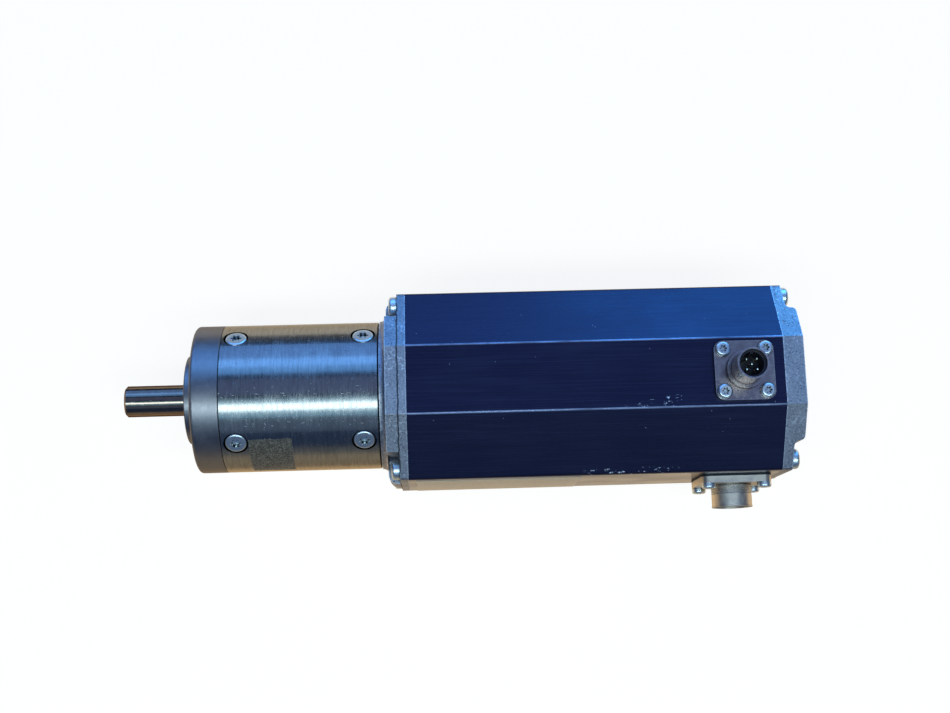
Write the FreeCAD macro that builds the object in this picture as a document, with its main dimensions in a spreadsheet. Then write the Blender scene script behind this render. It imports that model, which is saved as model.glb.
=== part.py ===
import FreeCAD, Part
import math
import os
import re

import Sketcher
from FreeCAD import Placement, Rotation, Vector

# Two-stage inline planetary gear reducer flanged to its brushless servo motor, as separate pieces.
# Millimetres. The shaft axis is X and the origin is the centre of the output flange's mounting
# face. The output shaft points along -X, the motor is on the +X side, the signal socket stands
# on the +Z face and the power socket on the -Y face. Radial sizes are radii unless they say
# otherwise, and stations, named *_at, are distances along X from the mounting face.

DRIVING_DIMENSIONS = [
    # output end
    ("shaft_reach", 30.0), ("shaft_radius", 6.35), ("shaft_tip_chamfer", 0.8),
    ("journal_radius", 7.5), ("journal_front", 3.8), ("shoulder_radius", 9.5),
    ("pilot_radius", 18.0), ("pilot_length", 4.0), ("flange_radius", 30.0),
    ("flange_length", 11.4), ("flange_edge_radius", 1.5), ("spigot_radius", 25.98),
    ("spigot_end_at", 23.4), ("seal_radius", 13.0), ("seal_length", 5.3), ("seal_front", 3.5),
    ("web_at", 2.0), ("web_radius", 11.0), ("bearing_bore_at", 3.0), ("edge_break", 0.25),
    ("pilot_edge_radius", 0.5), ("journal_chamfer", 0.3),
    ("mount_circle_radius", 24.0), ("mount_hole_radius", 2.1), ("mount_hole_depth", 10.0),
    # gears: both stages share one tooth system
    ("gear_module", 0.8), ("pressure_angle", 20.0), ("sun_teeth", 18), ("planet_teeth", 21),
    ("ring_teeth", 60), ("planet_count", 3), ("tooth_thinning", 0.05), ("addendum", 0.8),
    ("dedendum", 1.0), ("orbit_radius", 15.6), ("carrier_radius", 22.0), ("pin_radius", 2.5),
    ("pin_seat_gap", 0.02), ("pin_running_gap", 0.04), ("retainer_inner", 10.0),
    ("retainer_outer", 21.5), ("retainer_width", 1.0),
    ("output_disc_at", 24.0), ("output_disc_end", 28.4), ("output_planet_at", 29.0),
    ("output_planet_width", 14.0), ("output_retainer_at", 43.4),
    ("output_sun_at", 29.2), ("input_disc_at", 45.2), ("input_disc_end", 49.2),
    ("input_planet_at", 49.9), ("input_planet_width", 10.5), ("input_retainer_at", 60.9),
    ("input_sun_at", 50.0), ("input_sun_end", 62.6), ("pinion_collar_end", 65.4),
    ("fused_overlap", 0.5), ("tool_margin", 1.0),
    # ring gear, which is also the gear case
    ("case_end_at", 73.85), ("teeth_at", 23.8), ("teeth_end", 63.0), ("case_bore", 26.0),
    ("front_screws_at", 17.4), ("rear_screws_at", 67.9), ("case_screw_seat", 27.5),
    ("counterbore_radius", 4.9), ("case_hole_depth", 6.0), ("tap_spare", 0.6),
    # front plate of the motor
    ("plate_spigot_at", 63.4), ("groove_radius", 28.5), ("collar_at", 74.3),
    ("collar_radius", 30.3), ("collar_fillet", 2.3), ("plate_at", 76.8), ("pocket_floor_at", 81.65),
    ("pocket_side", 27.0), ("pocket_low", 8.0), ("pocket_corner_radius", 2.5),
    ("plate_corner_radius", 4.0), ("seal_bore", 11.0), ("input_seal_at", 65.9),
    ("input_seal_end", 70.9), ("bearing_shoulder", 9.0), ("front_bearing_at", 79.0),
    ("register_radius", 32.98), ("register_depth", 3.0), ("register_wall", 2.5), ("hub_radius", 16.0),
    ("hub_recess", 1.0), ("core_overlap", 1.0),
    # motor housing, an eight-sided extrusion
    ("housing_at", 85.0), ("housing_end", 232.5), ("half_width", 37.5), ("top_half", 13.4),
    ("side_half", 22.3), ("side_edge_radius", 1.8), ("top_edge_radius", 0.4),
    ("housing_bore", 33.0), ("corner_screw_across", 32.9),
    ("corner_screw_up", 19.0), ("thread_gap", 0.02), ("corner_hole_depth", 14.0),
    ("socket_hole_depth", 17.5), ("socket_tap_depth", 12.0),
    # rear cover
    ("cover_base", 4.0), ("cover_raise", 4.0), ("cover_side", 26.6), ("cover_fillet", 2.2),
    ("cover_shoulder_radius", 1.6), ("cover_recess_radius", 28.0), ("cover_wall", 4.5),
    # fasteners
    ("corner_head_radius", 4.0), ("corner_head_height", 3.3), ("corner_shank_radius", 2.0),
    ("corner_shank_length", 15.5), ("case_head_radius", 4.45), ("case_head_height", 2.4),
    ("case_shank_radius", 2.5), ("case_shank_length", 8.0), ("socket_head_radius", 2.85),
    ("socket_head_height", 2.2), ("socket_shank_radius", 1.5), ("socket_shank_length", 6.0),
    ("clearance_gap", 0.25), ("head_round_share", 0.42), ("recess_core_share", 0.36),
    ("recess_lobe_share", 0.13), ("recess_reach_share", 0.38), ("recess_depth_share", 0.6),
    ("recess_lobes", 6),
    # bearings: bore, outside, width, ball radius
    ("output_bearing_outer", 14.0), ("output_bearing_width", 7.0), ("output_ball", 2.0),
    ("first_bearing_at", 3.0), ("second_bearing_at", 15.0),
    ("front_bearing_outer", 12.0), ("front_bearing_width", 6.0), ("front_ball", 1.8),
    ("rear_bearing_outer", 11.0), ("rear_bearing_width", 7.0), ("rear_ball", 2.0),
    ("rear_bearing_at", 179.0), ("ball_gap", 0.03), ("race_shoulder_share", 0.55),
    ("ball_spacing_share", 2.5), ("cage_width_share", 0.72), ("cage_wall_share", 0.28),
    # the rings and seals that hold and close the bearings
    ("sleeve_wall", 1.6), ("ring_gap", 0.02), ("ring_side_gap", 0.05), ("circlip_width", 1.0),
    ("circlip_gap", 3.0), ("shaft_groove_depth", 0.4), ("shaft_ring_wall", 2.0),
    ("bore_groove_depth", 0.8), ("bore_ring_wall", 2.0), ("seal_wall", 0.9),
    ("seal_mouth_gap", 0.6), ("seal_mouth_depth", 1.2), ("seal_lip_gap", 0.03),
    ("seal_lip_at", 2.1), ("seal_lip_end", 2.7), ("seal_back_at", 3.2), ("seal_root_at", 1.4),
    ("seal_root_gap", 1.7),
    # motor
    ("pinion_seat", 4.0), ("motor_journal", 6.0), ("motor_shoulder", 7.4), ("core_seat", 7.0),
    ("shaft_front_at", 50.2), ("shaft_end_at", 188.0), ("rear_seat", 4.0), ("rear_shoulder", 5.5),
    ("shaft_end_chamfer", 0.4), ("pinion_side_gap", 0.2), ("core_shoulder_length", 5.0),
    ("core_tail_length", 6.0),
    ("rotor_at", 105.0), ("rotor_end", 160.0), ("rotor_radius", 14.2), ("magnet_radius", 16.8),
    ("magnet_count", 6), ("magnet_span", 52.0), ("stator_at", 104.0), ("stator_end", 161.0),
    ("stator_bore", 17.6), ("slot_count", 9), ("slot_inner", 19.4), ("slot_outer", 28.0),
    ("slot_mouth", 1.0), ("tooth_half", 3.6), ("coil_half", 6.5), ("coil_inner", 19.8),
    ("coil_outer", 27.2), ("coil_overhang", 4.0), ("coil_gap", 0.05), ("coil_end_gap", 0.3),
    ("shield_at", 176.0), ("shield_wall", 4.0), ("shield_floor", 2.0), ("shield_end", 186.5),
    ("shield_bore_gap", 1.0), ("spring_waves", 3),
    ("spring_at", 178.3), ("spring_wave", 0.2), ("spring_thickness", 0.3),
    ("spring_inner", 7.8), ("spring_outer", 10.7),
    ("magnet_disc_end", 190.5), ("encoder_board_at", 192.0), ("board_thickness", 1.6),
    ("board_radius", 30.0), ("controller_board_at", 202.0), ("standoff_radius", 2.2),
    ("standoff_circle", 26.0), ("standoff_count", 3), ("chip_height", 2.4), ("sensor_height", 1.0),
    # signal socket, heights above the housing face it stands on
    ("signal_at", 216.35), ("signal_flange_half", 11.65), ("signal_corner", 3.6),
    ("signal_gasket", 0.5), ("signal_plate", 2.0), ("signal_neck_radius", 7.3),
    ("signal_neck_top", 4.8), ("signal_barrel", 6.0), ("signal_bore", 5.4),
    ("signal_height", 17.5), ("signal_floor", 6.5), ("signal_rim", 15.5), ("signal_cup", 4.5),
    ("signal_pin_radius", 0.5), ("signal_pin_top", 15.0), ("signal_pin_half", 2.0),
    ("signal_screw_half", 8.3), ("signal_hole", 6.2),
    # power socket
    ("power_at", 216.2), ("power_flange_half", 14.1), ("power_corner", 3.2),
    ("power_gasket", 0.8), ("power_plate", 3.4), ("power_neck_radius", 7.9),
    ("power_neck_top", 7.3), ("power_barrel", 8.1), ("power_bore", 7.0), ("power_height", 12.4),
    ("power_floor", 5.0), ("power_rim", 10.8), ("power_cup", 6.2), ("power_pin_radius", 0.6),
    ("power_pin_top", 10.0), ("power_pin_circle", 4.0), ("power_screw_half", 11.2),
    ("power_hole", 8.3), ("gasket_gap", 0.2), ("insert_gap", 0.05), ("insert_depth", 4.0),
    ("key_half", 0.6), ("key_depth", 0.6), ("key_root", 0.3), ("key_proud", 0.2),
    ("pin_dome_share", 0.8), ("lead_radius", 2.0), ("lead_bend", 5.0),
    ("lead_drop", 16.0),
    # blank rating plate
    ("label_at", 88.0), ("label_length", 65.5), ("label_low", 20.0), ("label_height", 37.0),
    ("label_thickness", 0.3),
]

SIDEWAYS = Rotation(Vector(1, 1, 1), 120)      # turns X, Y, Z into Y, Z, X
ALONG_X = Rotation(Vector(0, 1, 0), 90)        # turns Z into X
TOWARDS_MINUS_Y = Rotation(Vector(1, 0, 0), 90)
FLANK_POINTS = 5                               # spline points on a tooth's flank
WAVE_POINTS = 8                                # spline points on one wave of the bearing spring

# The outline's corners as (distance from the middle plane, rounding): side faces, then top faces.
OCTAGON_CORNERS = [("half_width", "side_edge_radius"), ("top_half", "top_edge_radius")]

# Chips as (across, up, width, height) in the YZ plane, on the board's rear face unless named front.
CHIPS = {
    "encoder_board": [("9", "-14", "8", "10")],
    "controller_board": [("-12", "-12", "10", "12"), ("4", "-20", "12", "9"), ("6", "4", "14", "14")],
}
FRONT_SENSOR = ("-3", "-3", "6", "6")

doc = FreeCAD.newDocument("InlineGearReducer")
sheet = doc.addObject("Spreadsheet::Sheet", "Dims")
for row, (alias, value) in enumerate(DRIVING_DIMENSIONS, 1):
    sheet.set(f"A{row}", alias)
    sheet.set(f"B{row}", str(value))
    sheet.setAlias(f"B{row}", alias)
doc.recompute()
ALIASES = {alias for alias, _ in DRIVING_DIMENSIONS}
subparts = []


# ---- driving expressions --------------------------------------------------------------------

def formula(text):
    """The expression with the sheet's name before each of its aliases."""
    def with_sheet(word):
        return "Dims." + word.group() if word.group() in ALIASES else word.group()
    return re.sub(r"[a-z][a-z_]*", with_sheet, str(text))


def size(text):
    """The present value of an expression in the sheet's aliases."""
    return float(sheet.evalExpression(str(text)))


def keep(piece, label):
    """Name a finished piece and list it as a sub-part."""
    piece.Label = label
    subparts.append(piece)
    return piece


# ---- sketches and features ------------------------------------------------------------------

def new_body(name):
    return doc.addObject("PartDesign::Body", name)


def new_sketch(body, plane, offset="0"):
    """A sketch on one of the body's own origin planes, moved along the plane's normal."""
    sketch = body.newObject("Sketcher::SketchObject", body.Name + "_sketch")
    support = [item for item in body.Origin.OriginFeatures if item.Role == plane][0]
    sketch.AttachmentSupport = [(support, "")]
    sketch.MapMode = "FlatFace"
    sketch.setExpression("AttachmentOffset.Base.z", formula(offset))
    return sketch


def drive(sketch, kind, *where, value):
    index = sketch.addConstraint(Sketcher.Constraint(kind, *where, size(value)))
    sketch.setExpression(f"Constraints[{index}]", formula(value))


def hold_point(sketch, curve, end, place):
    """Fix a point of a curve by driven distances from the sketch's origin."""
    for kind, axis, value in (("DistanceX", -2, place[0]), ("DistanceY", -1, place[1])):
        if str(value) == "0":
            sketch.addConstraint(Sketcher.Constraint("PointOnObject", curve, end, axis))
        else:
            drive(sketch, kind, -1, 1, curve, end, value=value)


def draw_outline(sketch, corners):
    """A closed run of straight lines through the corners."""
    points = [Vector(size(across), size(up), 0) for across, up in corners]
    for start, end in zip(points, points[1:] + points[:1]):
        sketch.addGeometry(Part.LineSegment(start, end))
    for line, corner in enumerate(corners):
        sketch.addConstraint(Sketcher.Constraint("Coincident", line, 2, (line + 1) % len(corners), 1))
        hold_point(sketch, line, 1, corner)
    return sketch


def draw_circles(sketch, centres, radius):
    for centre in centres:
        middle = Vector(size(centre[0]), size(centre[1]), 0)
        curve = sketch.addGeometry(Part.Circle(middle, Vector(0, 0, 1), size(radius)))
        hold_point(sketch, curve, 3, centre)
        drive(sketch, "Radius", curve, value=radius)
    return sketch


def recomputed(feature):
    """Recompute the document and stop at once if the new feature failed."""
    doc.recompute()
    if "Invalid" in feature.State or "Error" in feature.State:
        raise RuntimeError(f"{feature.Name} failed: {feature.State}")
    return feature


def add_turn(body, corners, about="x"):
    """Revolve an outline of (station, radius) corners about X, or (radius, height) about Z."""
    plane, axis = ("XY_Plane", "H_Axis") if about == "x" else ("XZ_Plane", "V_Axis")
    sketch = draw_outline(new_sketch(body, plane), corners)
    turn = body.newObject("PartDesign::Revolution", body.Name + "_turn")
    turn.Profile = sketch
    turn.ReferenceAxis = (sketch, [axis])
    turn.Angle = 360
    return recomputed(turn)


def add_pad(body, sketch, length):
    pad = body.newObject("PartDesign::Pad", body.Name + "_pad")
    pad.Profile = sketch
    pad.setExpression("Length", formula(length))
    return recomputed(pad)


def cut_pocket(body, sketch, depth, forward=False):
    """Cut against the sketch's normal, or along it when forward."""
    before = body.Shape.Volume
    pocket = body.newObject("PartDesign::Pocket", body.Name + "_pocket")
    pocket.Profile = sketch
    pocket.setExpression("Length", formula(depth))
    pocket.Reversed = forward
    recomputed(pocket)
    if body.Shape.Volume > before - 1e-6:
        raise RuntimeError(f"{body.Label}: a pocket cut nothing")
    return pocket


def repeat_round(body, feature, count, axis_role):
    """Repeat a feature round one of the body's axes."""
    pattern = body.newObject("PartDesign::PolarPattern", body.Name + "_pattern")
    pattern.Originals = [feature]
    pattern.Axis = ([item for item in body.Origin.OriginFeatures if item.Role == axis_role][0], [""])
    pattern.Angle = 360
    pattern.setExpression("Occurrences", formula(count))
    body.Tip = pattern
    return recomputed(pattern)


def round_edges(body, chosen, radius):
    """Fillet every edge of the body that the test chooses."""
    tip = body.Tip
    names = [f"Edge{number}" for number, edge in enumerate(tip.Shape.Edges, 1) if chosen(edge)]
    if not names:
        raise RuntimeError(f"{body.Label}: no edge to round")
    fillet = body.newObject("PartDesign::Fillet", body.Name + "_fillet")
    fillet.Base = (tip, names)
    fillet.setExpression("Radius", formula(radius))
    return recomputed(fillet)


def is_circle(edge, radius, axis, height):
    """True for a full circle of this radius at this height along this axis."""
    curve = edge.Curve
    return (isinstance(curve, Part.Circle) and abs(curve.Radius - size(radius)) < 1e-4
            and abs(curve.Center.dot(axis) - size(height)) < 1e-4)


def turned(label, corners, about="x"):
    body = new_body(label)
    add_turn(body, corners, about)
    return keep(body, label)


def moved(piece, base=(0, 0, 0), rotation=Rotation()):
    """Place a piece, each coordinate of its base bound to an expression."""
    piece.Placement = Placement(Vector(), rotation)
    for letter, value in zip("xyz", base):
        piece.setExpression(f"Placement.Base.{letter}", formula(value))
    doc.recompute()
    return piece


def group(label, seed, places):
    """Copies of a seed solid at the places, as separate solids of one sub-part."""
    piece = doc.addObject("Part::Feature", label)
    copies = [seed.Shape.transformed(place.toMatrix()) for place in places]
    piece.Shape = Part.makeCompound(copies)
    piece.Placement = Placement()
    return keep(piece, label)


def boolean(kind, base, tool, name):
    result = doc.addObject("Part::" + kind, name)
    result.Base = base
    result.Tool = tool
    doc.recompute()
    return result


def about_x(degrees, base=Vector()):
    return Placement(base, Rotation(Vector(1, 0, 0), degrees))


def spaced_about_x(count, start=0.0):
    return [about_x(start + 360.0 * turn / count) for turn in range(count)]


# ---- toothed pieces -------------------------------------------------------------------------

def involute(angle):
    return math.tan(angle) - angle


def gear_prism(teeth, tip_radius, root_radius, thinning, phase, width):
    """A toothed prism along Z from the XY plane, one tooth centred on the angle phase."""
    pressure = math.radians(size("pressure_angle"))
    pitch_radius = size("gear_module") * teeth / 2
    base_radius = pitch_radius * math.cos(pressure)
    half_tooth = math.pi / (2 * teeth) - thinning / (2 * pitch_radius)
    flank_start = max(base_radius, root_radius)

    def half_angle(radius):
        slope = math.acos(min(1.0, base_radius / radius))
        return half_tooth + involute(pressure) - involute(slope)

    def point(radius, angle):
        return Vector(radius * math.cos(angle), radius * math.sin(angle), 0)

    steps = [flank_start + (tip_radius - flank_start) * number / (FLANK_POINTS - 1)
             for number in range(FLANK_POINTS)]
    edges = []
    for tooth in range(teeth):
        middle = phase + 2 * math.pi * tooth / teeth
        following = middle + 2 * math.pi / teeth
        foot = half_angle(flank_start)
        tip = half_angle(tip_radius)
        rising = Part.BSplineCurve()
        rising.interpolate([point(radius, middle - half_angle(radius)) for radius in steps])
        falling = Part.BSplineCurve()
        falling.interpolate([point(radius, middle + half_angle(radius)) for radius in steps[::-1]])
        if root_radius < base_radius:
            edges.append(Part.LineSegment(point(root_radius, middle - foot),
                                          point(flank_start, middle - foot)).toShape())
        edges.append(rising.toShape())
        edges.append(Part.Arc(point(tip_radius, middle - tip), point(tip_radius, middle),
                              point(tip_radius, middle + tip)).toShape())
        edges.append(falling.toShape())
        if root_radius < base_radius:
            edges.append(Part.LineSegment(point(flank_start, middle + foot),
                                          point(root_radius, middle + foot)).toShape())
        edges.append(Part.Arc(point(root_radius, middle + foot),
                              point(root_radius, (middle + following) / 2),
                              point(root_radius, following - foot)).toShape())
    return Part.Face(Part.Wire(edges)).extrude(Vector(0, 0, width))


def toothed(name, shape, station, across=0.0, up=0.0):
    """A toothed prism as an object of the document, its width running along +X."""
    piece = doc.addObject("Part::Feature", name)
    piece.Shape = shape
    piece.Placement = Placement(Vector(station, across, up), SIDEWAYS)
    return piece


def external_gear(teeth, phase, width):
    pitch_radius = size("gear_module") * teeth / 2
    return gear_prism(teeth, pitch_radius + size("addendum"), pitch_radius - size("dedendum"),
                      size("tooth_thinning"), phase, width)


def planet_phase(angle):
    """The angle of a planet's tooth, in mesh with a sun that has a tooth on the angle 0."""
    sun, planet = size("sun_teeth"), size("planet_teeth")
    return angle + math.pi + angle * sun / planet + math.pi / planet


def make_planets(stage):
    width = size(f"{stage}_planet_width")
    bore = Part.makeCylinder(size("pin_radius + pin_running_gap"), width)
    count = int(size("planet_count"))
    for number in range(count):
        angle = 2 * math.pi * number / count
        gear = external_gear(int(size("planet_teeth")), planet_phase(angle), width).cut(bore)
        label = f"{stage}_planet_{number + 1}"
        across = size("orbit_radius") * math.cos(angle)
        up = size("orbit_radius") * math.sin(angle)
        keep(toothed(label, gear, size(f"{stage}_planet_at"), across, up), label)


def orbit_places():
    """The planet pins' centres in the YZ plane, as expressions."""
    angles = [f"({number} * 360 / planet_count)" for number in range(1, int(size("planet_count")))]
    return [("orbit_radius", "0")] + [(f"orbit_radius * cos{angle}", f"orbit_radius * sin{angle}")
                                      for angle in angles]


def make_pins(stage, start, end):
    seed = doc.addObject("Part::Cylinder", f"{stage}_pin_seed")
    seed.setExpression("Radius", formula("pin_radius"))
    seed.setExpression("Height", formula(f"{end} - ({start})"))
    moved(seed, (start, "orbit_radius", "0"), ALONG_X)
    group(f"{stage}_planet_pins", seed, spaced_about_x(int(size("planet_count"))))


def make_retainer(stage):
    station = f"{stage}_retainer_at"
    body = turned(f"{stage}_planet_retainer", [
        (station, "retainer_inner"), (station, "retainer_outer"),
        (f"{station} + retainer_width", "retainer_outer"),
        (f"{station} + retainer_width", "retainer_inner")])
    holes = new_sketch(body, "YZ_Plane", station)
    draw_circles(holes, orbit_places(), "pin_radius + pin_seat_gap")
    cut_pocket(body, holes, "retainer_width", forward=True)


# ---- screws, bearings, seals and rings ------------------------------------------------------

def screw_seed(name, head_radius, head_height, shank_radius, shank_length):
    """A round-headed screw with a six-lobed recess, its head's seat at the origin, head up +Z."""
    body = new_body(name)
    add_turn(body, [("0", f"-({shank_length})"), (shank_radius, f"-({shank_length})"),
                    (shank_radius, "0"), (head_radius, "0"), (head_radius, head_height),
                    ("0", head_height)], about="z")
    upward = Vector(0, 0, 1)
    round_edges(body, lambda edge: is_circle(edge, head_radius, upward, head_height),
                f"{head_height} * head_round_share")
    depth = f"{head_height} * recess_depth_share"
    core = new_sketch(body, "XY_Plane", head_height)
    cut_pocket(body, draw_circles(core, [("0", "0")], f"{head_radius} * recess_core_share"), depth)
    lobe = new_sketch(body, "XY_Plane", head_height)
    draw_circles(lobe, [(f"{head_radius} * recess_reach_share", "0")],
                 f"{head_radius} * recess_lobe_share")
    repeat_round(body, cut_pocket(body, lobe, depth), "recess_lobes", "Z_Axis")
    return body


def corner_places(seat, rotation):
    """The four corner screws' places on a plane across the axis."""
    across, up = size("corner_screw_across"), size("corner_screw_up")
    return [Placement(Vector(seat, side * across, level * up), rotation)
            for side in (-1, 1) for level in (-1, 1)]


def ball_bearing_rings(name, station, bore, outer, width, ball):
    """Inner and outer ring of a deep-groove ball bearing whose axis is X."""
    middle = f"({bore} + {outer}) / 2"
    end = f"{station} + {width}"
    rings = []
    step = f"{ball} * race_shoulder_share"
    for side, inside, outside in (("outer", f"{middle} + {step}", outer),
                                  ("inner", bore, f"{middle} - {step}")):
        blank = new_body(f"{name}_{side}_blank")
        add_turn(blank, [(station, inside), (station, outside), (end, outside), (end, inside)])
        race = doc.addObject("Part::Torus", f"{name}_{side}_race")
        race.setExpression("Radius1", formula(middle))
        race.setExpression("Radius2", formula(f"{ball} + ball_gap"))
        moved(race, (f"{station} + {width} / 2", "0", "0"), ALONG_X)
        rings.append(boolean("Cut", blank, race, f"{name}_{side}_ring"))
    return rings


def ball_set(station, bore, outer, width, ball):
    """The balls of a bearing and the cage that spaces them, as a list of separate solids."""
    middle = size(f"({bore} + {outer}) / 2")
    centre = size(f"{station} + {width} / 2")
    radius = size(ball)
    count = int(2 * math.pi * middle / (size("ball_spacing_share") * radius))
    cage_width = size(f"{width} * cage_width_share")
    wall = size(f"{ball} * cage_wall_share")
    cage_start = Vector(centre - cage_width / 2, 0, 0)
    forward = Vector(1, 0, 0)
    outside = Part.makeCylinder(middle + wall, cage_width, cage_start, forward)
    cage = outside.cut(Part.makeCylinder(middle - wall, cage_width, cage_start, forward))
    pocket = Part.makeSphere(radius + 2 * size("ball_gap"), Vector(centre, middle, 0))
    ball_shape = Part.makeSphere(radius, Vector(centre, middle, 0))
    places = spaced_about_x(count)
    cage = cage.cut([pocket.transformed(place.toMatrix()) for place in places])
    balls = [ball_shape.transformed(place.toMatrix()) for place in places]
    return balls + cage.Solids


def make_single_bearing(name, station, bore, outer, width, ball):
    outer_ring, inner_ring = ball_bearing_rings(name, station, bore, outer, width, ball)
    keep(outer_ring, f"{name}_outer_ring")
    keep(inner_ring, f"{name}_inner_ring")
    balls = doc.addObject("Part::Feature", f"{name}_balls")
    balls.Shape = Part.makeCompound(ball_set(station, bore, outer, width, ball))
    balls.Placement = Placement()
    keep(balls, f"{name}_balls")


def make_output_bearings():
    """Two identical bearings, so each kind of ring is one sub-part of two solids."""
    args = ("journal_radius", "output_bearing_outer", "output_bearing_width", "output_ball")
    outer_ring, inner_ring = ball_bearing_rings("output_bearing", "first_bearing_at", *args)
    spread = Vector(size("second_bearing_at - first_bearing_at"), 0, 0)
    pair = [Placement(), Placement(spread, Rotation())]
    group("output_bearing_outer_rings", outer_ring, pair)
    group("output_bearing_inner_rings", inner_ring, pair)
    balls = doc.addObject("Part::Feature", "output_bearing_balls")
    one_set = Part.makeCompound(ball_set("first_bearing_at", *args))
    balls.Shape = Part.makeCompound([one_set, one_set.translated(spread)])
    balls.Placement = Placement()
    keep(balls, "output_bearing_balls")


def make_seal(label, start, end, outside, shaft):
    """A lip seal: stiff case against the bore, lip leaning on the shaft."""
    start = f"({start})"
    turned(label, [
        (start, outside), (start, f"{shaft} + seal_mouth_gap"),
        (f"{start} + seal_mouth_depth", f"{shaft} + seal_mouth_gap"),
        (f"{start} + seal_lip_at", f"{shaft} + seal_lip_gap"),
        (f"{start} + seal_lip_end", f"{shaft} + seal_lip_gap"),
        (f"{start} + seal_back_at", f"{shaft} + seal_wall"),
        (f"{start} + seal_root_at", f"{shaft} + seal_root_gap"),
        (f"{start} + seal_root_at", f"{outside} - seal_wall"),
        (end, f"{outside} - seal_wall"), (end, outside)])


def make_circlip(label, start, inside, outside):
    """A retaining ring, open at the bottom."""
    body = turned(label, [
        (start, inside), (start, outside), (f"{start} + circlip_width", outside),
        (f"{start} + circlip_width", inside)])
    opening = draw_outline(new_sketch(body, "YZ_Plane", start), [
        ("-circlip_gap", f"-({outside}) - tool_margin"),
        ("circlip_gap", f"-({outside}) - tool_margin"),
        ("circlip_gap", "-circlip_gap"), ("-circlip_gap", "-circlip_gap")])
    cut_pocket(body, opening, "circlip_width", forward=True)


def radial_holes(body, station, top, radius, depth):
    """Four round pockets that point at the axis, halfway between the Y and Z directions."""
    sketch = new_sketch(body, "XY_Plane")
    sketch.AttachmentOffset = Placement(Vector(), Rotation(Vector(1, 0, 0), 45))
    sketch.setExpression("AttachmentOffset.Base.y", formula(f"-sqrt(0.5) * ({top})"))
    sketch.setExpression("AttachmentOffset.Base.z", formula(f"sqrt(0.5) * ({top})"))
    draw_circles(sketch, [(station, "0")], radius)
    repeat_round(body, cut_pocket(body, sketch, depth), 4, "X_Axis")


# ---- output end -----------------------------------------------------------------------------

def make_output_shaft():
    """Shaft and output carrier in one piece, drilled for the three planet pins."""
    groove_at = "web_at - ring_side_gap"
    groove_radius = "journal_radius - shaft_groove_depth"
    body = turned("output_shaft", [
        ("-shaft_reach", "0"), ("-shaft_reach", "shaft_radius - shaft_tip_chamfer"),
        ("shaft_tip_chamfer - shaft_reach", "shaft_radius"), ("-journal_front", "shaft_radius"),
        ("-journal_front", "journal_radius - journal_chamfer"),
        ("journal_chamfer - journal_front", "journal_radius"),
        (groove_at, "journal_radius"), (groove_at, groove_radius),
        ("bearing_bore_at", groove_radius), ("bearing_bore_at", "journal_radius"),
        ("second_bearing_at + output_bearing_width", "journal_radius"),
        ("second_bearing_at + output_bearing_width", "shoulder_radius"),
        ("output_disc_at", "shoulder_radius"), ("output_disc_at", "carrier_radius"),
        ("output_disc_end", "carrier_radius"), ("output_disc_end", "0")])
    holes = draw_circles(new_sketch(body, "YZ_Plane", "output_disc_at"), orbit_places(),
                         "pin_radius + pin_seat_gap")
    cut_pocket(body, holes, "output_disc_end - output_disc_at", forward=True)


def make_output_flange():
    bore_end = "second_bearing_at + output_bearing_width"
    groove_end = f"{bore_end} + circlip_width + 2 * ring_side_gap"
    groove_radius = "output_bearing_outer + bore_groove_depth"
    body = turned("output_flange", [
        ("-pilot_length", "seal_radius"), ("-pilot_length", "pilot_radius"), ("0", "pilot_radius"),
        ("0", "flange_radius"), ("flange_length - edge_break", "flange_radius"),
        ("flange_length", "flange_radius - edge_break"),
        ("flange_length", "spigot_radius"), ("spigot_end_at", "spigot_radius"),
        ("spigot_end_at", "output_bearing_outer"), (groove_end, "output_bearing_outer"),
        (groove_end, groove_radius), (bore_end, groove_radius), (bore_end, "output_bearing_outer"),
        ("bearing_bore_at", "output_bearing_outer"), ("bearing_bore_at", "web_radius"),
        ("web_at", "web_radius"), ("web_at", "seal_radius")])
    forward = Vector(1, 0, 0)
    for radius, station, rounding in (("flange_radius", "0", "flange_edge_radius"),
                                      ("pilot_radius", "-pilot_length", "pilot_edge_radius")):
        round_edges(body, lambda edge: is_circle(edge, radius, forward, station), rounding)
    quarter = [("mount_circle_radius", "0"), ("-mount_circle_radius", "0"),
               ("0", "mount_circle_radius"), ("0", "-mount_circle_radius")]
    holes = draw_circles(new_sketch(body, "YZ_Plane"), quarter, "mount_hole_radius")
    cut_pocket(body, holes, "mount_hole_depth", forward=True)
    radial_holes(body, "front_screws_at", "spigot_radius", "case_shank_radius + thread_gap",
                 "case_shank_length + tap_spare - (case_screw_seat - spigot_radius)")


def make_output_rings():
    turned("bearing_spacer", [
        ("first_bearing_at + output_bearing_width", "output_bearing_outer - sleeve_wall"),
        ("first_bearing_at + output_bearing_width", "output_bearing_outer - ring_gap"),
        ("second_bearing_at", "output_bearing_outer - ring_gap"),
        ("second_bearing_at", "output_bearing_outer - sleeve_wall")])
    make_circlip("bore_retaining_ring", "second_bearing_at + output_bearing_width + ring_gap",
                 "output_bearing_outer - bore_ring_wall",
                 "output_bearing_outer + bore_groove_depth - 2 * ring_side_gap")
    make_circlip("shaft_retaining_ring", "web_at - ring_gap",
                 "journal_radius - shaft_groove_depth + ring_gap", "journal_radius + shaft_ring_wall")
    make_seal("shaft_seal", "-seal_front", "seal_length - seal_front", "seal_radius", "journal_radius")


# ---- gear case and gears --------------------------------------------------------------------

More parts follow.
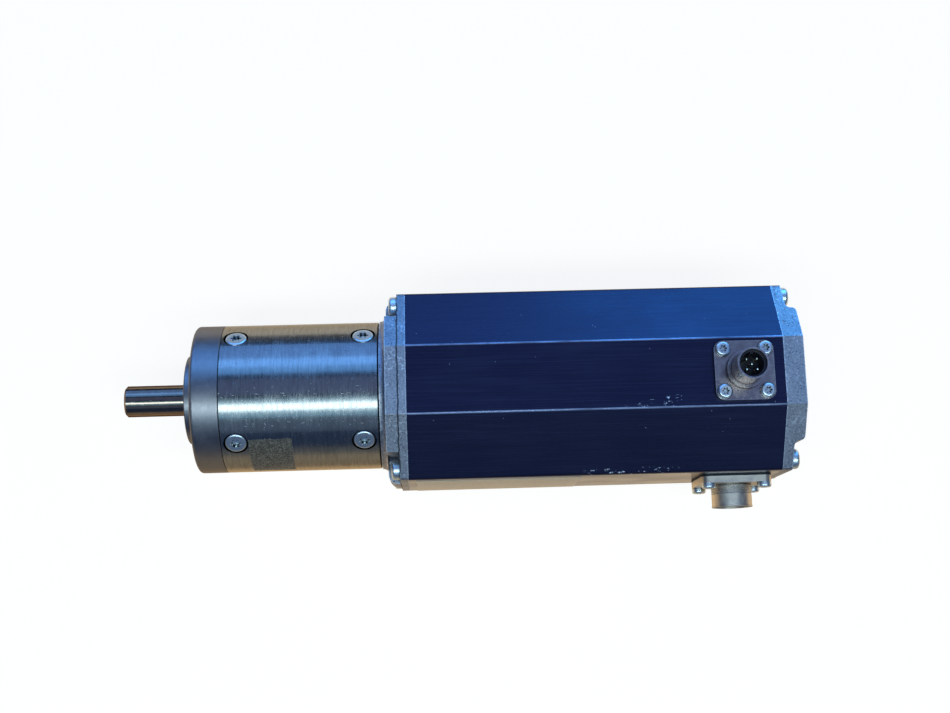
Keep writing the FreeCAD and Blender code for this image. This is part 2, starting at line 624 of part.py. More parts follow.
def make_ring_gear():
    """A tube with the internal teeth between two plain bores for the spigots."""
    blank = new_body("ring_gear_blank")
    tooth_bore = "gear_module * ring_teeth / 2 - addendum - tool_margin"
    add_turn(blank, [
        ("flange_length", "case_bore"), ("flange_length", "flange_radius - edge_break"),
        ("flange_length + edge_break", "flange_radius"),
        ("case_end_at - edge_break", "flange_radius"),
        ("case_end_at", "flange_radius - edge_break"), ("case_end_at", "case_bore"),
        ("teeth_end", "case_bore"), ("teeth_end", tooth_bore),
        ("teeth_at", tooth_bore), ("teeth_at", "case_bore")])
    for station in ("front_screws_at", "rear_screws_at"):
        radial_holes(blank, station, "flange_radius + tool_margin",
                     "case_shank_radius + clearance_gap", "case_hole_depth")
        radial_holes(blank, station, "flange_radius + tool_margin", "counterbore_radius",
                     "flange_radius + tool_margin - case_screw_seat")
    teeth = int(size("ring_teeth"))
    pitch_radius = size("gear_module") * teeth / 2
    cutter = gear_prism(teeth, pitch_radius + size("dedendum"), pitch_radius - size("addendum"),
                        -size("tooth_thinning"), 0.0, size("teeth_end - teeth_at + 2 * tool_margin"))
    tool = toothed("ring_tooth_spaces", cutter, size("teeth_at - tool_margin"))
    keep(boolean("Cut", blank, tool, "ring_gear"), "ring_gear")


def make_input_carrier():
    """Carrier disc of the first stage with the second stage's sun on its front."""
    disc = new_body("input_carrier_disc")
    add_turn(disc, [("input_disc_at", "0"), ("input_disc_at", "carrier_radius"),
                    ("input_disc_end", "carrier_radius"), ("input_disc_end", "0")])
    holes = draw_circles(new_sketch(disc, "YZ_Plane", "input_disc_at"), orbit_places(),
                         "pin_radius + pin_seat_gap")
    cut_pocket(disc, holes, "input_disc_end - input_disc_at", forward=True)
    width = size("input_disc_at - output_sun_at + fused_overlap")
    sun = toothed("output_sun_teeth", external_gear(int(size("sun_teeth")), 0.0, width),
                  size("output_sun_at"))
    keep(boolean("Fuse", disc, sun, "input_carrier"), "input_carrier")


def make_input_sun():
    """The motor pinion: a sun gear with a collar, bored for the motor shaft."""
    collar = new_body("pinion_collar")
    root = "gear_module * sun_teeth / 2 - dedendum"
    start = "input_sun_end - fused_overlap"
    add_turn(collar, [(start, "0"), (start, root), ("pinion_collar_end", root),
                      ("pinion_collar_end", "0")])
    width = size("input_sun_end - input_sun_at")
    teeth = toothed("input_sun_teeth", external_gear(int(size("sun_teeth")), 0.0, width),
                    size("input_sun_at"))
    blank = boolean("Fuse", collar, teeth, "input_sun_blank")
    bore = doc.addObject("Part::Cylinder", "pinion_bore")
    bore.setExpression("Radius", formula("pinion_seat + pin_seat_gap"))
    bore.setExpression("Height", formula("pinion_collar_end - input_sun_at + 2 * tool_margin"))
    moved(bore, ("input_sun_at - tool_margin", "0", "0"), ALONG_X)
    keep(boolean("Cut", blank, bore, "input_sun"), "input_sun")


# ---- motor shell ----------------------------------------------------------------------------

def octagon():
    """The extrusion's outline in the YZ plane."""
    right_up = [("top_half", "half_width"), ("half_width", "side_half")]
    right = right_up + [(across, f"-{up}") for across, up in reversed(right_up)]
    return right + [(f"-{across}", up) for across, up in reversed(right)]


def round_outline(body, length, corners):
    """Round the outline's edges along X, a pair of corners each side for each |y| named."""
    reach = size(length)
    for across, radius in corners:
        station = size(across)
        round_edges(body, lambda edge: (abs(edge.Length - reach) < 1e-3
                                        and abs(abs(edge.CenterOfMass.y) - station) < 1e-3), radius)


def raised_outline():
    """The octagon narrowed to the rear cover's raised middle."""
    slope = "(half_width - side_half) / (half_width - top_half)"
    cut_up = f"half_width - (cover_side - top_half) * {slope}"
    right = [("top_half", "half_width"), ("cover_side", cut_up),
             ("cover_side", f"-({cut_up})"), ("top_half", "-half_width")]
    return right + [(f"-{across}", up) for across, up in reversed(right)]


def corner_centres():
    return [(f"{side}corner_screw_across", f"{level}corner_screw_up")
            for side in ("-", "") for level in ("-", "")]


def cut_corner_pocket(body, side, level):
    """One screw pocket, open to the front and outwards, its inner corner round."""
    beyond = "half_width + tool_margin"
    round_across = f"{side}(pocket_side + pocket_corner_radius)"
    round_up = f"{level}(pocket_low + pocket_corner_radius)"
    outline = draw_outline(new_sketch(body, "YZ_Plane", "plate_at"), [
        (round_across, f"{level}pocket_low"), (f"{side}({beyond})", f"{level}pocket_low"),
        (f"{side}({beyond})", f"{level}({beyond})"), (f"{side}pocket_side", f"{level}({beyond})"),
        (f"{side}pocket_side", round_up), (round_across, round_up)])
    cut_pocket(body, outline, "pocket_floor_at - plate_at", forward=True)
    corner = draw_circles(new_sketch(body, "YZ_Plane", "plate_at"), [(round_across, round_up)],
                          "pocket_corner_radius")
    cut_pocket(body, corner, "pocket_floor_at - plate_at", forward=True)


def make_front_plate():
    body = new_body("front_plate")
    depth_in = "housing_at + register_depth"
    add_turn(body, [
        ("plate_spigot_at", "seal_bore"), ("plate_spigot_at", "spigot_radius"),
        ("case_end_at", "spigot_radius"), ("case_end_at", "groove_radius"),
        ("collar_at", "groove_radius"), ("collar_at", "collar_radius"),
        ("housing_at - core_overlap", "collar_radius"), ("housing_at - core_overlap", "register_radius"),
        (depth_in, "register_radius"), (depth_in, "register_radius - register_wall"),
        ("housing_at + hub_recess", "register_radius - register_wall"),
        ("housing_at + hub_recess", "hub_radius"),
        (depth_in, "hub_radius"), (depth_in, "front_bearing_outer"),
        ("front_bearing_at", "front_bearing_outer"), ("front_bearing_at", "bearing_shoulder"),
        ("input_seal_end", "bearing_shoulder"), ("input_seal_end", "seal_bore")])
    # the plate's own slab goes round the turned core, so its bore is cut again afterwards
    slab = draw_outline(new_sketch(body, "YZ_Plane", "plate_at"), octagon())
    add_pad(body, slab, "housing_at - plate_at")
    round_outline(body, "housing_at - plate_at", OCTAGON_CORNERS)
    for radius, start, end in (("bearing_shoulder", "input_seal_end", "front_bearing_at"),
                               ("front_bearing_outer", "front_bearing_at", depth_in)):
        bore = draw_circles(new_sketch(body, "YZ_Plane", start), [("0", "0")], radius)
        cut_pocket(body, bore, f"{end} - {start}", forward=True)
    forward = Vector(1, 0, 0)
    round_edges(body, lambda edge: is_circle(edge, "collar_radius", forward, "plate_at"),
                "collar_fillet")
    for side in ("", "-"):
        for level in ("", "-"):
            cut_corner_pocket(body, side, level)
    side = size("half_width")
    low = size("pocket_low")
    station = size("plate_at")

    def is_front_corner(edge):
        middle = edge.CenterOfMass
        return (abs(abs(middle.y) - side) < 1e-3 and abs(middle.x - station) < 1e-3
                and abs(edge.Length - 2 * low) < 1e-3)

    round_edges(body, is_front_corner, "plate_corner_radius")
    holes = draw_circles(new_sketch(body, "YZ_Plane", "pocket_floor_at"), corner_centres(),
                         "corner_shank_radius + clearance_gap")
    cut_pocket(body, holes, "housing_at - pocket_floor_at", forward=True)
    radial_holes(body, "rear_screws_at", "spigot_radius", "case_shank_radius + thread_gap",
                 "case_shank_length + tap_spare - (case_screw_seat - spigot_radius)")
    keep(body, "front_plate")


def make_housing():
    body = new_body("motor_housing")
    length = "housing_end - housing_at"
    add_pad(body, draw_outline(new_sketch(body, "YZ_Plane", "housing_at"), octagon()), length)
    round_outline(body, length, OCTAGON_CORNERS)
    bore = draw_circles(new_sketch(body, "YZ_Plane", "housing_at"), [("0", "0")], "housing_bore")
    cut_pocket(body, bore, length, forward=True)
    for station, forward in (("housing_at", True), ("housing_end", False)):
        holes = draw_circles(new_sketch(body, "YZ_Plane", station), corner_centres(),
                             "corner_shank_radius + thread_gap")
        cut_pocket(body, holes, "corner_hole_depth", forward=forward)
    # lead holes and tapped holes under the two sockets
    for plane, name in (("XY_Plane", "signal"), ("XZ_Plane", "power")):
        lead_hole = new_sketch(body, plane, "half_width")
        draw_circles(lead_hole, [(f"{name}_at", "0")], f"{name}_hole")
        cut_pocket(body, lead_hole, "socket_hole_depth")
        taps = [(f"{name}_at + {across}", up) for across, up in socket_screw_centres(name)]
        threads = new_sketch(body, plane, "half_width")
        draw_circles(threads, taps, "socket_shank_radius + thread_gap")
        cut_pocket(body, threads, "socket_tap_depth")
    keep(body, "motor_housing")


def make_rear_cover():
    """Base plate, raised middle between the corner screws, and a register inside the bore."""
    body = new_body("rear_cover")
    add_pad(body, draw_outline(new_sketch(body, "YZ_Plane", "housing_end"), octagon()), "cover_base")
    round_outline(body, "cover_base", OCTAGON_CORNERS[:1])
    raised = draw_outline(new_sketch(body, "YZ_Plane", "housing_end + cover_base"), raised_outline())
    add_pad(body, raised, "cover_raise")
    base_face = size("housing_end + cover_base")
    top_face = size("housing_end + cover_base + cover_raise")
    side = size("cover_side")

    def is_foot(edge):
        middle = edge.CenterOfMass
        return abs(abs(middle.y) - side) < 1e-3 and abs(middle.x - base_face) < 1e-3

    def is_shoulder(edge):
        middle = edge.CenterOfMass
        return abs(abs(middle.y) - side) < 1e-3 and abs(middle.x - top_face) < 1e-3

    round_edges(body, is_foot, "cover_fillet")
    round_edges(body, is_shoulder, "cover_shoulder_radius")
    register = draw_circles(new_sketch(body, "YZ_Plane", "housing_end - register_depth"),
                            [("0", "0")], "register_radius")
    add_pad(body, register, "register_depth")
    recess = draw_circles(new_sketch(body, "YZ_Plane", "housing_end - register_depth"),
                          [("0", "0")], "cover_recess_radius")
    cut_pocket(body, recess, "register_depth + cover_base + cover_raise - cover_wall", forward=True)
    holes = draw_circles(new_sketch(body, "YZ_Plane", "housing_end"), corner_centres(),
                         "corner_shank_radius + clearance_gap")
    cut_pocket(body, holes, "cover_base", forward=True)
    keep(body, "rear_cover")


def make_case_screws():
    corner = screw_seed("corner_screw_seed", "corner_head_radius", "corner_head_height",
                        "corner_shank_radius", "corner_shank_length")
    facing_front = Rotation(Vector(0, 1, 0), -90)
    facing_rear = Rotation(Vector(0, 1, 0), 90)
    group("front_plate_screws", corner, corner_places(size("pocket_floor_at"), facing_front))
    group("rear_cover_screws", corner, corner_places(size("housing_end + cover_base"), facing_rear))
    radial = screw_seed("case_screw_seed", "case_head_radius", "case_head_height",
                        "case_shank_radius", "case_shank_length")
    for label, station in (("output_flange_screws", "front_screws_at"),
                           ("gear_case_screws", "rear_screws_at")):
        seat = Placement(Vector(size(station), 0, size("case_screw_seat")), Rotation())
        group(label, radial, [place.multiply(seat) for place in spaced_about_x(4, 45)])


# ---- motor inside ---------------------------------------------------------------------------

def make_rotor():
    turned("rotor_shaft", [
        ("shaft_front_at", "0"), ("shaft_front_at", "pinion_seat - shaft_end_chamfer"),
        ("shaft_front_at + shaft_end_chamfer", "pinion_seat"),
        ("pinion_collar_end + pinion_side_gap", "pinion_seat"),
        ("pinion_collar_end + pinion_side_gap", "motor_journal"),
        ("front_bearing_at + front_bearing_width", "motor_journal"),
        ("front_bearing_at + front_bearing_width", "motor_shoulder"),
        ("rotor_at - core_shoulder_length", "motor_shoulder"),
        ("rotor_at - core_shoulder_length", "core_seat"),
        ("rotor_end + core_tail_length", "core_seat"),
        ("rotor_end + core_tail_length", "rear_shoulder"),
        ("rear_bearing_at", "rear_shoulder"), ("rear_bearing_at", "rear_seat"),
        ("shaft_end_at", "rear_seat"), ("shaft_end_at", "0")])
    turned("rotor_core", [
        ("rotor_at", "core_seat + pin_seat_gap"), ("rotor_at", "rotor_radius"),
        ("rotor_end", "rotor_radius"), ("rotor_end", "core_seat + pin_seat_gap")])
    magnet = new_body("magnet_seed")
    sketch = draw_outline(new_sketch(magnet, "XY_Plane"), [
        ("rotor_at", "rotor_radius + pin_seat_gap"), ("rotor_at", "magnet_radius"),
        ("rotor_end", "magnet_radius"), ("rotor_end", "rotor_radius + pin_seat_gap")])
    sweep = magnet.newObject("PartDesign::Revolution", "magnet_sweep")
    sweep.Profile = sketch
    sweep.ReferenceAxis = (sketch, ["H_Axis"])
    sweep.setExpression("Angle", formula("magnet_span"))
    doc.recompute()
    group("rotor_magnets", magnet, spaced_about_x(int(size("magnet_count"))))
    turned("encoder_magnet", [
        ("shaft_end_at", "0"), ("shaft_end_at", "rear_seat"),
        ("magnet_disc_end", "rear_seat"), ("magnet_disc_end", "0")])


def make_stator():
    body = turned("stator_core", [
        ("stator_at", "stator_bore"), ("stator_at", "register_radius"),
        ("stator_end", "register_radius"), ("stator_end", "stator_bore")])
    half_pitch = "180 / slot_count"

    def slot_side(radius):
        return f"{radius} * tan({half_pitch}) - tooth_half / cos({half_pitch})"

    right = [("stator_bore - tool_margin", "slot_mouth"), ("slot_inner", "slot_mouth"),
             ("slot_inner", slot_side("slot_inner")), ("slot_outer", slot_side("slot_outer"))]
    left = [(radius, f"-({side})") for radius, side in reversed(right)]
    slot = draw_outline(new_sketch(body, "YZ_Plane", "stator_at"), right + left)
    pocket = cut_pocket(body, slot, "stator_end - stator_at", forward=True)
    repeat_round(body, pocket, "slot_count", "X_Axis")


def box(name, corner, lengths):
    piece = doc.addObject("Part::Box", name)
    for side, value in zip(("Length", "Width", "Height"), lengths):
        piece.setExpression(side, formula(value))
    return moved(piece, corner)


def make_coils():
    """One flat coil round each stator tooth."""
    outer = box("coil_outside", ("stator_at - coil_overhang", "coil_inner", "-coil_half"),
                ("stator_end - stator_at + 2 * coil_overhang", "coil_outer - coil_inner",
                 "2 * coil_half"))
    inner = box("coil_inside",
                ("stator_at - coil_end_gap", "coil_inner - tool_margin", "-tooth_half - coil_gap"),
                ("stator_end - stator_at + 2 * coil_end_gap",
                 "coil_outer - coil_inner + 2 * tool_margin", "2 * (tooth_half + coil_gap)"))
    seed = boolean("Cut", outer, inner, "coil_seed")
    count = int(size("slot_count"))
    group("stator_coils", seed, spaced_about_x(count, 180.0 / count))


def make_shield_and_spring():
    turned("rear_bearing_shield", [
        ("shield_at", "rear_shoulder + shield_bore_gap"), ("shield_at", "register_radius"),
        ("shield_at + shield_wall", "register_radius"), ("shield_at + shield_wall", "hub_radius"),
        ("shield_end", "hub_radius"), ("shield_end", "rear_bearing_outer"),
        ("shield_at + shield_floor", "rear_bearing_outer"),
        ("shield_at + shield_floor", "rear_shoulder + shield_bore_gap")])
    make_wave_spring()


def make_wave_spring():
    """A thin wavy washer that presses the rear bearing forward."""
    waves = int(size("spring_waves"))
    middle = size("spring_at + spring_wave / 2")
    rims = []
    for radius in (size("spring_inner"), size("spring_outer")):
        points = []
        for step in range(WAVE_POINTS * waves):
            angle = 2 * math.pi * step / (WAVE_POINTS * waves)
            lift = size("spring_wave") * math.sin(waves * angle)
            points.append(Vector(middle + lift, radius * math.cos(angle), radius * math.sin(angle)))
        rim = Part.BSplineCurve()
        rim.interpolate(points, PeriodicFlag=True)
        rims.append(rim.toShape())
    ribbon = Part.makeRuledSurface(rims[0], rims[1])
    spring = doc.addObject("Part::Feature", "bearing_wave_spring")
    spring.Shape = ribbon.extrude(Vector(size("spring_thickness"), 0, 0))
    spring.Placement = Placement()
    keep(spring, "bearing_wave_spring")


def add_chip(body, start, block, height):
    """A rectangular chip, (across, up, width, height), that stands on a plane across the axis."""
    across, up, wide, tall = block
    chip = draw_outline(new_sketch(body, "YZ_Plane", start), [
        (across, up), (f"{across} + {wide}", up),
        (f"{across} + {wide}", f"{up} + {tall}"), (across, f"{up} + {tall}")])
    add_pad(body, chip, height)


def make_boards():
    """Two round circuit boards on standoffs, with their chips in one piece with the board."""
    for label, blocks in CHIPS.items():
        body = new_body(label)
        disc = draw_circles(new_sketch(body, "YZ_Plane", f"{label}_at"), [("0", "0")], "board_radius")
        add_pad(body, disc, "board_thickness")
        for block in blocks:
            add_chip(body, f"{label}_at + board_thickness", block, "chip_height")
        if label == "encoder_board":
            add_chip(body, "encoder_board_at - sensor_height", FRONT_SENSOR, "sensor_height")
        keep(body, label)
    make_standoffs()


def make_standoffs():
    """Three posts behind the bearing shield, and three more between the boards."""
    count = int(size("standoff_count"))
    places = spaced_about_x(count, 180 / count)
    posts = []
    for name, start, end in (("front_post", "shield_at + shield_wall", "encoder_board_at"),
                             ("rear_post", "encoder_board_at + board_thickness", "controller_board_at")):
        post = doc.addObject("Part::Cylinder", name)
        post.setExpression("Radius", formula("standoff_radius"))
        post.setExpression("Height", formula(f"{end} - ({start})"))
        moved(post, (start, "standoff_circle", "0"), ALONG_X)
        posts.append(post)
    standoffs = doc.addObject("Part::Feature", "board_standoffs")
    standoffs.Shape = Part.makeCompound([post.Shape.transformed(place.toMatrix())
                                         for post in posts for place in places])
    standoffs.Placement = Placement()
    keep(standoffs, "board_standoffs")


# ---- sockets --------------------------------------------------------------------------------

def rounded_plate(body, start, thickness, half, corner):
    """A square plate with round corners, standing at a height above the XY plane."""
    sketch = draw_outline(new_sketch(body, "XY_Plane", start), [
        (half, half), (f"-{half}", half), (f"-{half}", f"-{half}"), (half, f"-{half}")])
    add_pad(body, sketch, thickness)

    def is_upright(edge):
        straight = isinstance(edge.Curve, Part.Line)
        return straight and abs(abs(edge.Curve.Direction.z) - 1) < 1e-6

    round_edges(body, is_upright, corner)


def socket_screw_centres(name):
    return [(f"{across}{name}_screw_half", f"{up}{name}_screw_half")
            for across in ("", "-") for up in ("", "-")]


def make_gasket(name, place):
    body = new_body(f"{name}_socket_gasket")
    rounded_plate(body, "0", f"{name}_gasket", f"{name}_flange_half", f"{name}_corner")
    top = new_sketch(body, "XY_Plane", f"{name}_gasket")
    cut_pocket(body, draw_circles(top, [("0", "0")], f"{name}_hole + gasket_gap"), f"{name}_gasket")
    holes = new_sketch(body, "XY_Plane", f"{name}_gasket")
    draw_circles(holes, socket_screw_centres(name), "socket_shank_radius + clearance_gap")
    cut_pocket(body, holes, f"{name}_gasket")
    keep(moved(body, *place), f"{name}_socket_gasket")


def make_shell(name, place):
    body = new_body(f"{name}_socket_shell")
    rounded_plate(body, f"{name}_gasket", f"{name}_plate - {name}_gasket", f"{name}_flange_half",
                  f"{name}_corner")
    add_turn(body, [
        (f"{name}_bore", f"{name}_gasket"), (f"{name}_neck_radius", f"{name}_gasket"),
        (f"{name}_neck_radius", f"{name}_neck_top"), (f"{name}_barrel", f"{name}_neck_top"),
        (f"{name}_barrel", f"{name}_height"), (f"{name}_bore", f"{name}_height")], about="z")
    bore = new_sketch(body, "XY_Plane", f"{name}_height")
    cut_pocket(body, draw_circles(bore, [("0", "0")], f"{name}_bore"), f"{name}_height")
    holes = new_sketch(body, "XY_Plane", f"{name}_plate")
    draw_circles(holes, socket_screw_centres(name), "socket_shank_radius + clearance_gap")
    cut_pocket(body, holes, f"{name}_plate")
    keep(moved(body, *place), f"{name}_socket_shell")


def make_insert(name, place, pins):
    """Black contact carrier: a cup with a key inside its rim."""
    body = new_body(f"{name}_socket_insert")
    outside = f"{name}_bore - insert_gap"
    add_turn(body, [
        ("0", "-insert_depth"), (outside, "-insert_depth"), (outside, f"{name}_rim"),
        (f"{name}_cup", f"{name}_rim"), (f"{name}_cup", f"{name}_floor"), ("0", f"{name}_floor")],
        about="z")
    key = draw_outline(new_sketch(body, "XY_Plane", f"{name}_floor - fused_overlap"), [
        ("-key_half", f"{name}_cup - key_depth"), ("key_half", f"{name}_cup - key_depth"),
        ("key_half", f"{name}_cup + key_root"), ("-key_half", f"{name}_cup + key_root")])
    add_pad(body, key, f"{name}_rim - {name}_floor + key_proud")
    holes = new_sketch(body, "XY_Plane", f"{name}_floor")
    draw_circles(holes, pins, f"{name}_pin_radius + pin_seat_gap")
    cut_pocket(body, holes, f"{name}_floor + insert_depth")
    keep(moved(body, *place), f"{name}_socket_insert")


def make_pin_set(name, place, pins):
    """Round contact pins with domed ends."""
    seed = new_body(f"{name}_pin_seed")
    radius = f"{name}_pin_radius"
    add_turn(seed, [("0", "-insert_depth"), (radius, "-insert_depth"), (radius, f"{name}_pin_top"),
                    ("0", f"{name}_pin_top")], about="z")
    upward = Vector(0, 0, 1)
    round_edges(seed, lambda edge: is_circle(edge, radius, upward, f"{name}_pin_top"),
                f"{radius} * pin_dome_share")
    origin = moved_place(place)
    group(f"{name}_socket_pins", seed, [
        origin.multiply(Placement(Vector(size(across), size(up), 0), Rotation()))
        for across, up in pins])


def moved_place(place):
    """The placement that moved() gives a piece for the same base and rotation."""
    base, rotation = place
    return Placement(Vector(*[size(value) for value in base]), rotation)


def make_socket(name, place, pins, screw):
    make_gasket(name, place)
    make_shell(name, place)
    make_insert(name, place, pins)
    make_pin_set(name, place, pins)
    origin = moved_place(place)
    group(f"{name}_socket_screws", screw, [
        origin.multiply(Placement(Vector(size(across), size(up), size(f"{name}_plate")), Rotation()))
        for across, up in socket_screw_centres(name)])


def lead_shape(name, across, up, base):
    """A lead bundle: straight in from its socket, one bend, and along the axis to the board."""
    radius, bend = size("lead_radius"), size("lead_bend")
    inward = Vector(0, -across, -up)
    start = Vector(size(f"{name}_at"), 0, 0) + inward * (-(size("half_width") - base))
    corner = start + inward * size("lead_drop - lead_bend")
    turn_end = corner + inward * bend + Vector(-bend, 0, 0)
    eighth = math.pi / 4
    middle = corner + inward * (bend * math.sin(eighth)) - Vector(bend * (1 - math.cos(eighth)), 0, 0)
    board_face = size("controller_board_at + board_thickness")
    end = Vector(board_face, turn_end.y, turn_end.z)
    path = Part.Wire([Part.LineSegment(start, corner).toShape(),
                      Part.Arc(corner, middle, turn_end).toShape(),
                      Part.LineSegment(turn_end, end).toShape()])
    section = Part.Wire([Part.Circle(start, inward, radius).toShape()])
    return path.makePipeShell([section], True, True)


def make_sockets_and_leads():
    screw = screw_seed("socket_screw_seed", "socket_head_radius", "socket_head_height",
                       "socket_shank_radius", "socket_shank_length")
    half = "signal_pin_half"
    square = [(half, half), (f"-{half}", half), (f"-{half}", f"-{half}"), (half, f"-{half}")]
    make_socket("signal", (("signal_at", "0", "half_width"), Rotation()), square + [("0", "0")], screw)
    # six places on the circle, the one away from the key left empty
    ring = [("power_pin_circle", "0")]
    ring += [(f"power_pin_circle * cos({angle})", f"power_pin_circle * sin({angle})")
             for angle in (60, 120, 240, 300)]
    make_socket("power", (("power_at", "-half_width", "0"), TOWARDS_MINUS_Y), ring + [("0", "0")], screw)
    depth = size("insert_depth")
    leads = doc.addObject("Part::Feature", "socket_leads")
    leads.Shape = Part.makeCompound([lead_shape("signal", 0, 1, depth), lead_shape("power", -1, 0, depth)])
    leads.Placement = Placement()
    keep(leads, "socket_leads")


# ---- build, check and write -----------------------------------------------------------------

def check_document():
    for item in doc.Objects:
        if "Invalid" in item.State or "Error" in item.State:
            raise RuntimeError(f"{item.Name} failed: {item.State}")
    for piece in subparts:
        shape = piece.Shape
        if shape.isNull() or not shape.isValid() or not shape.Solids:
            raise RuntimeError(f"{piece.Label} is not a valid solid")
        if min(solid.Volume for solid in shape.Solids) <= 0:
            raise RuntimeError(f"{piece.Label} holds an inside-out solid")


def main():
    make_output_shaft()
    make_output_flange()
    make_output_rings()
    make_output_bearings()
    make_ring_gear()
    make_pins("output", "output_disc_at", "output_retainer_at + retainer_width")
    make_planets("output")
    make_retainer("output")
    make_input_carrier()
    make_pins("input", "input_disc_at", "input_retainer_at + retainer_width")
    make_planets("input")
    make_retainer("input")
    make_input_sun()
    make_front_plate()
    make_seal("input_seal", "input_seal_at", "input_seal_end", "seal_bore", "motor_journal")
    make_housing()
    make_rear_cover()
    make_case_screws()
    make_rotor()
    make_single_bearing("front_motor_bearing", "front_bearing_at", "motor_journal",
                        "front_bearing_outer", "front_bearing_width", "front_ball")
    make_single_bearing("rear_motor_bearing", "rear_bearing_at", "rear_seat",
                        "rear_bearing_outer", "rear_bearing_width", "rear_ball")
    make_stator()
    make_coils()
    make_shield_and_spring()
    make_boards()
    make_sockets_and_leads()
    keep(box("rating_plate", ("label_at", "-half_width - label_thickness", "-label_low"),
             ("label_length", "label_thickness", "label_height")), "rating_plate")
    doc.recompute()
    check_document()
    os.makedirs("parts", exist_ok=True)
    for piece in subparts:
        piece.Shape.exportStep(f"parts/{piece.Label}.step")
        print(f"{piece.Label}: {piece.Shape.Volume:.1f} mm3, {len(piece.Shape.Solids)} solid(s)")


main()
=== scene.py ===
"""Looks of the inline geared servo motor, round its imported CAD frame. Metres, +Z up, shaft along -X."""
import math

import bmesh
import bpy
from mathutils import Matrix, Vector


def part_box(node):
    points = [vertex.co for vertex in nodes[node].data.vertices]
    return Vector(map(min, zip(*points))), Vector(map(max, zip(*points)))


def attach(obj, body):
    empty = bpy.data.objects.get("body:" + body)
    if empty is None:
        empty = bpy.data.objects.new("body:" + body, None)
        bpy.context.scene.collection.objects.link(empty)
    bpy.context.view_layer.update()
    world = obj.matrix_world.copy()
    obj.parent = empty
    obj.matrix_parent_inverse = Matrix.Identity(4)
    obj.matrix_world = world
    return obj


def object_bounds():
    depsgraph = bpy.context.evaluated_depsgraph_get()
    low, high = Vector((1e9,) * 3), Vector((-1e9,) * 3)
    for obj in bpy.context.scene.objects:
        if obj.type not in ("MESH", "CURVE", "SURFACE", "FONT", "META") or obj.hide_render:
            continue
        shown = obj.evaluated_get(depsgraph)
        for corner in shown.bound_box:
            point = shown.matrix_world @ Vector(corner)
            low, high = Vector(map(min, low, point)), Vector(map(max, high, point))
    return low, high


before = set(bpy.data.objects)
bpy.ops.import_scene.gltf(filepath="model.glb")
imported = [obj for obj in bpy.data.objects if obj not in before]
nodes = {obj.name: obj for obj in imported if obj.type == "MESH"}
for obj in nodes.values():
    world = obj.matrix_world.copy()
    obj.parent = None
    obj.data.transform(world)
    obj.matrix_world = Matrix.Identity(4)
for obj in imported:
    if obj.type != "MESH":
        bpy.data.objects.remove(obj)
cad_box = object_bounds()
cad_centre = (cad_box[0] + cad_box[1]) / 2

MM = 0.001
FLOOR_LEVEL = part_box("motor_housing")[0].z
# Dark colour of the cast parting line, and of the painted shade in joints and recesses.
GRIME_AND_SHADE = (0.012, 0.012, 0.015)
FAR_FLOOR = (0.04, 0.05, 0.08)

# Radii, places and sizes on the object, in millimetres, or in degrees round X from +Z towards +Y.
CASE_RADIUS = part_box("ring_gear")[1].z / MM
CASE_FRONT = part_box("ring_gear")[0].x / MM
SHAFT_RADIUS = 6.35
HOUSING_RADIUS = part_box("motor_housing")[1].y / MM
STICKER_ALONG = (CASE_FRONT + 11.2, CASE_FRONT + 27.8)
STICKER_ROUND = (-84.0, -42.0)
SMEAR_ROUND = (16.0, 30.0)
FRONT_PLATE_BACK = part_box("front_plate")[1].x / MM
PARTING_LINE = (FRONT_PLATE_BACK - 6.5, FRONT_PLATE_BACK - 6.2)
TOP_FACE_LEVEL = (HOUSING_RADIUS - 0.6, HOUSING_RADIUS - 0.4)
TOP_FACE_EDGE = (13.1, 13.75)
SIDE_CHIPS_UP, SIDE_CHIPS_ALONG = (21.8, 23.6), (160.0, 190.0)
TOP_CHIPS_ACROSS, TOP_CHIPS_ALONG = (-12.8, -9.0), (172.0, 190.0)
LABEL_LOW, LABEL_HIGH = (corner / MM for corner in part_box("rating_plate"))
FIELDS_ALONG = (LABEL_LOW.x + 3.0, LABEL_HIGH.x - 3.5)
FIELDS_UP = (LABEL_LOW.z + 3.0, LABEL_HIGH.z - 3.0)
RULE_PITCH = 3.0
SHEET_THICKNESS = 0.5

# Waves: turning marks on the flange, in radians a millimetre, and wires in one turn round X.
RING_RATE = 21.0
WIRES_ROUND = 260.0

# What the metal mirrors of the floor, front to back: where each colour begins and is full, in mm along Y.
MIRRORED_FLOOR = [(-250.0, -130.0, (0.34, 0.26, 0.17)), (-64.0, -46.0, (0.95, 0.72, 0.46)),
                  (-36.0, 10.0, (0.80, 0.77, 0.71)), (205.0, 235.0, FAR_FLOOR)]


# ---------------------------------------------------------------- material tools

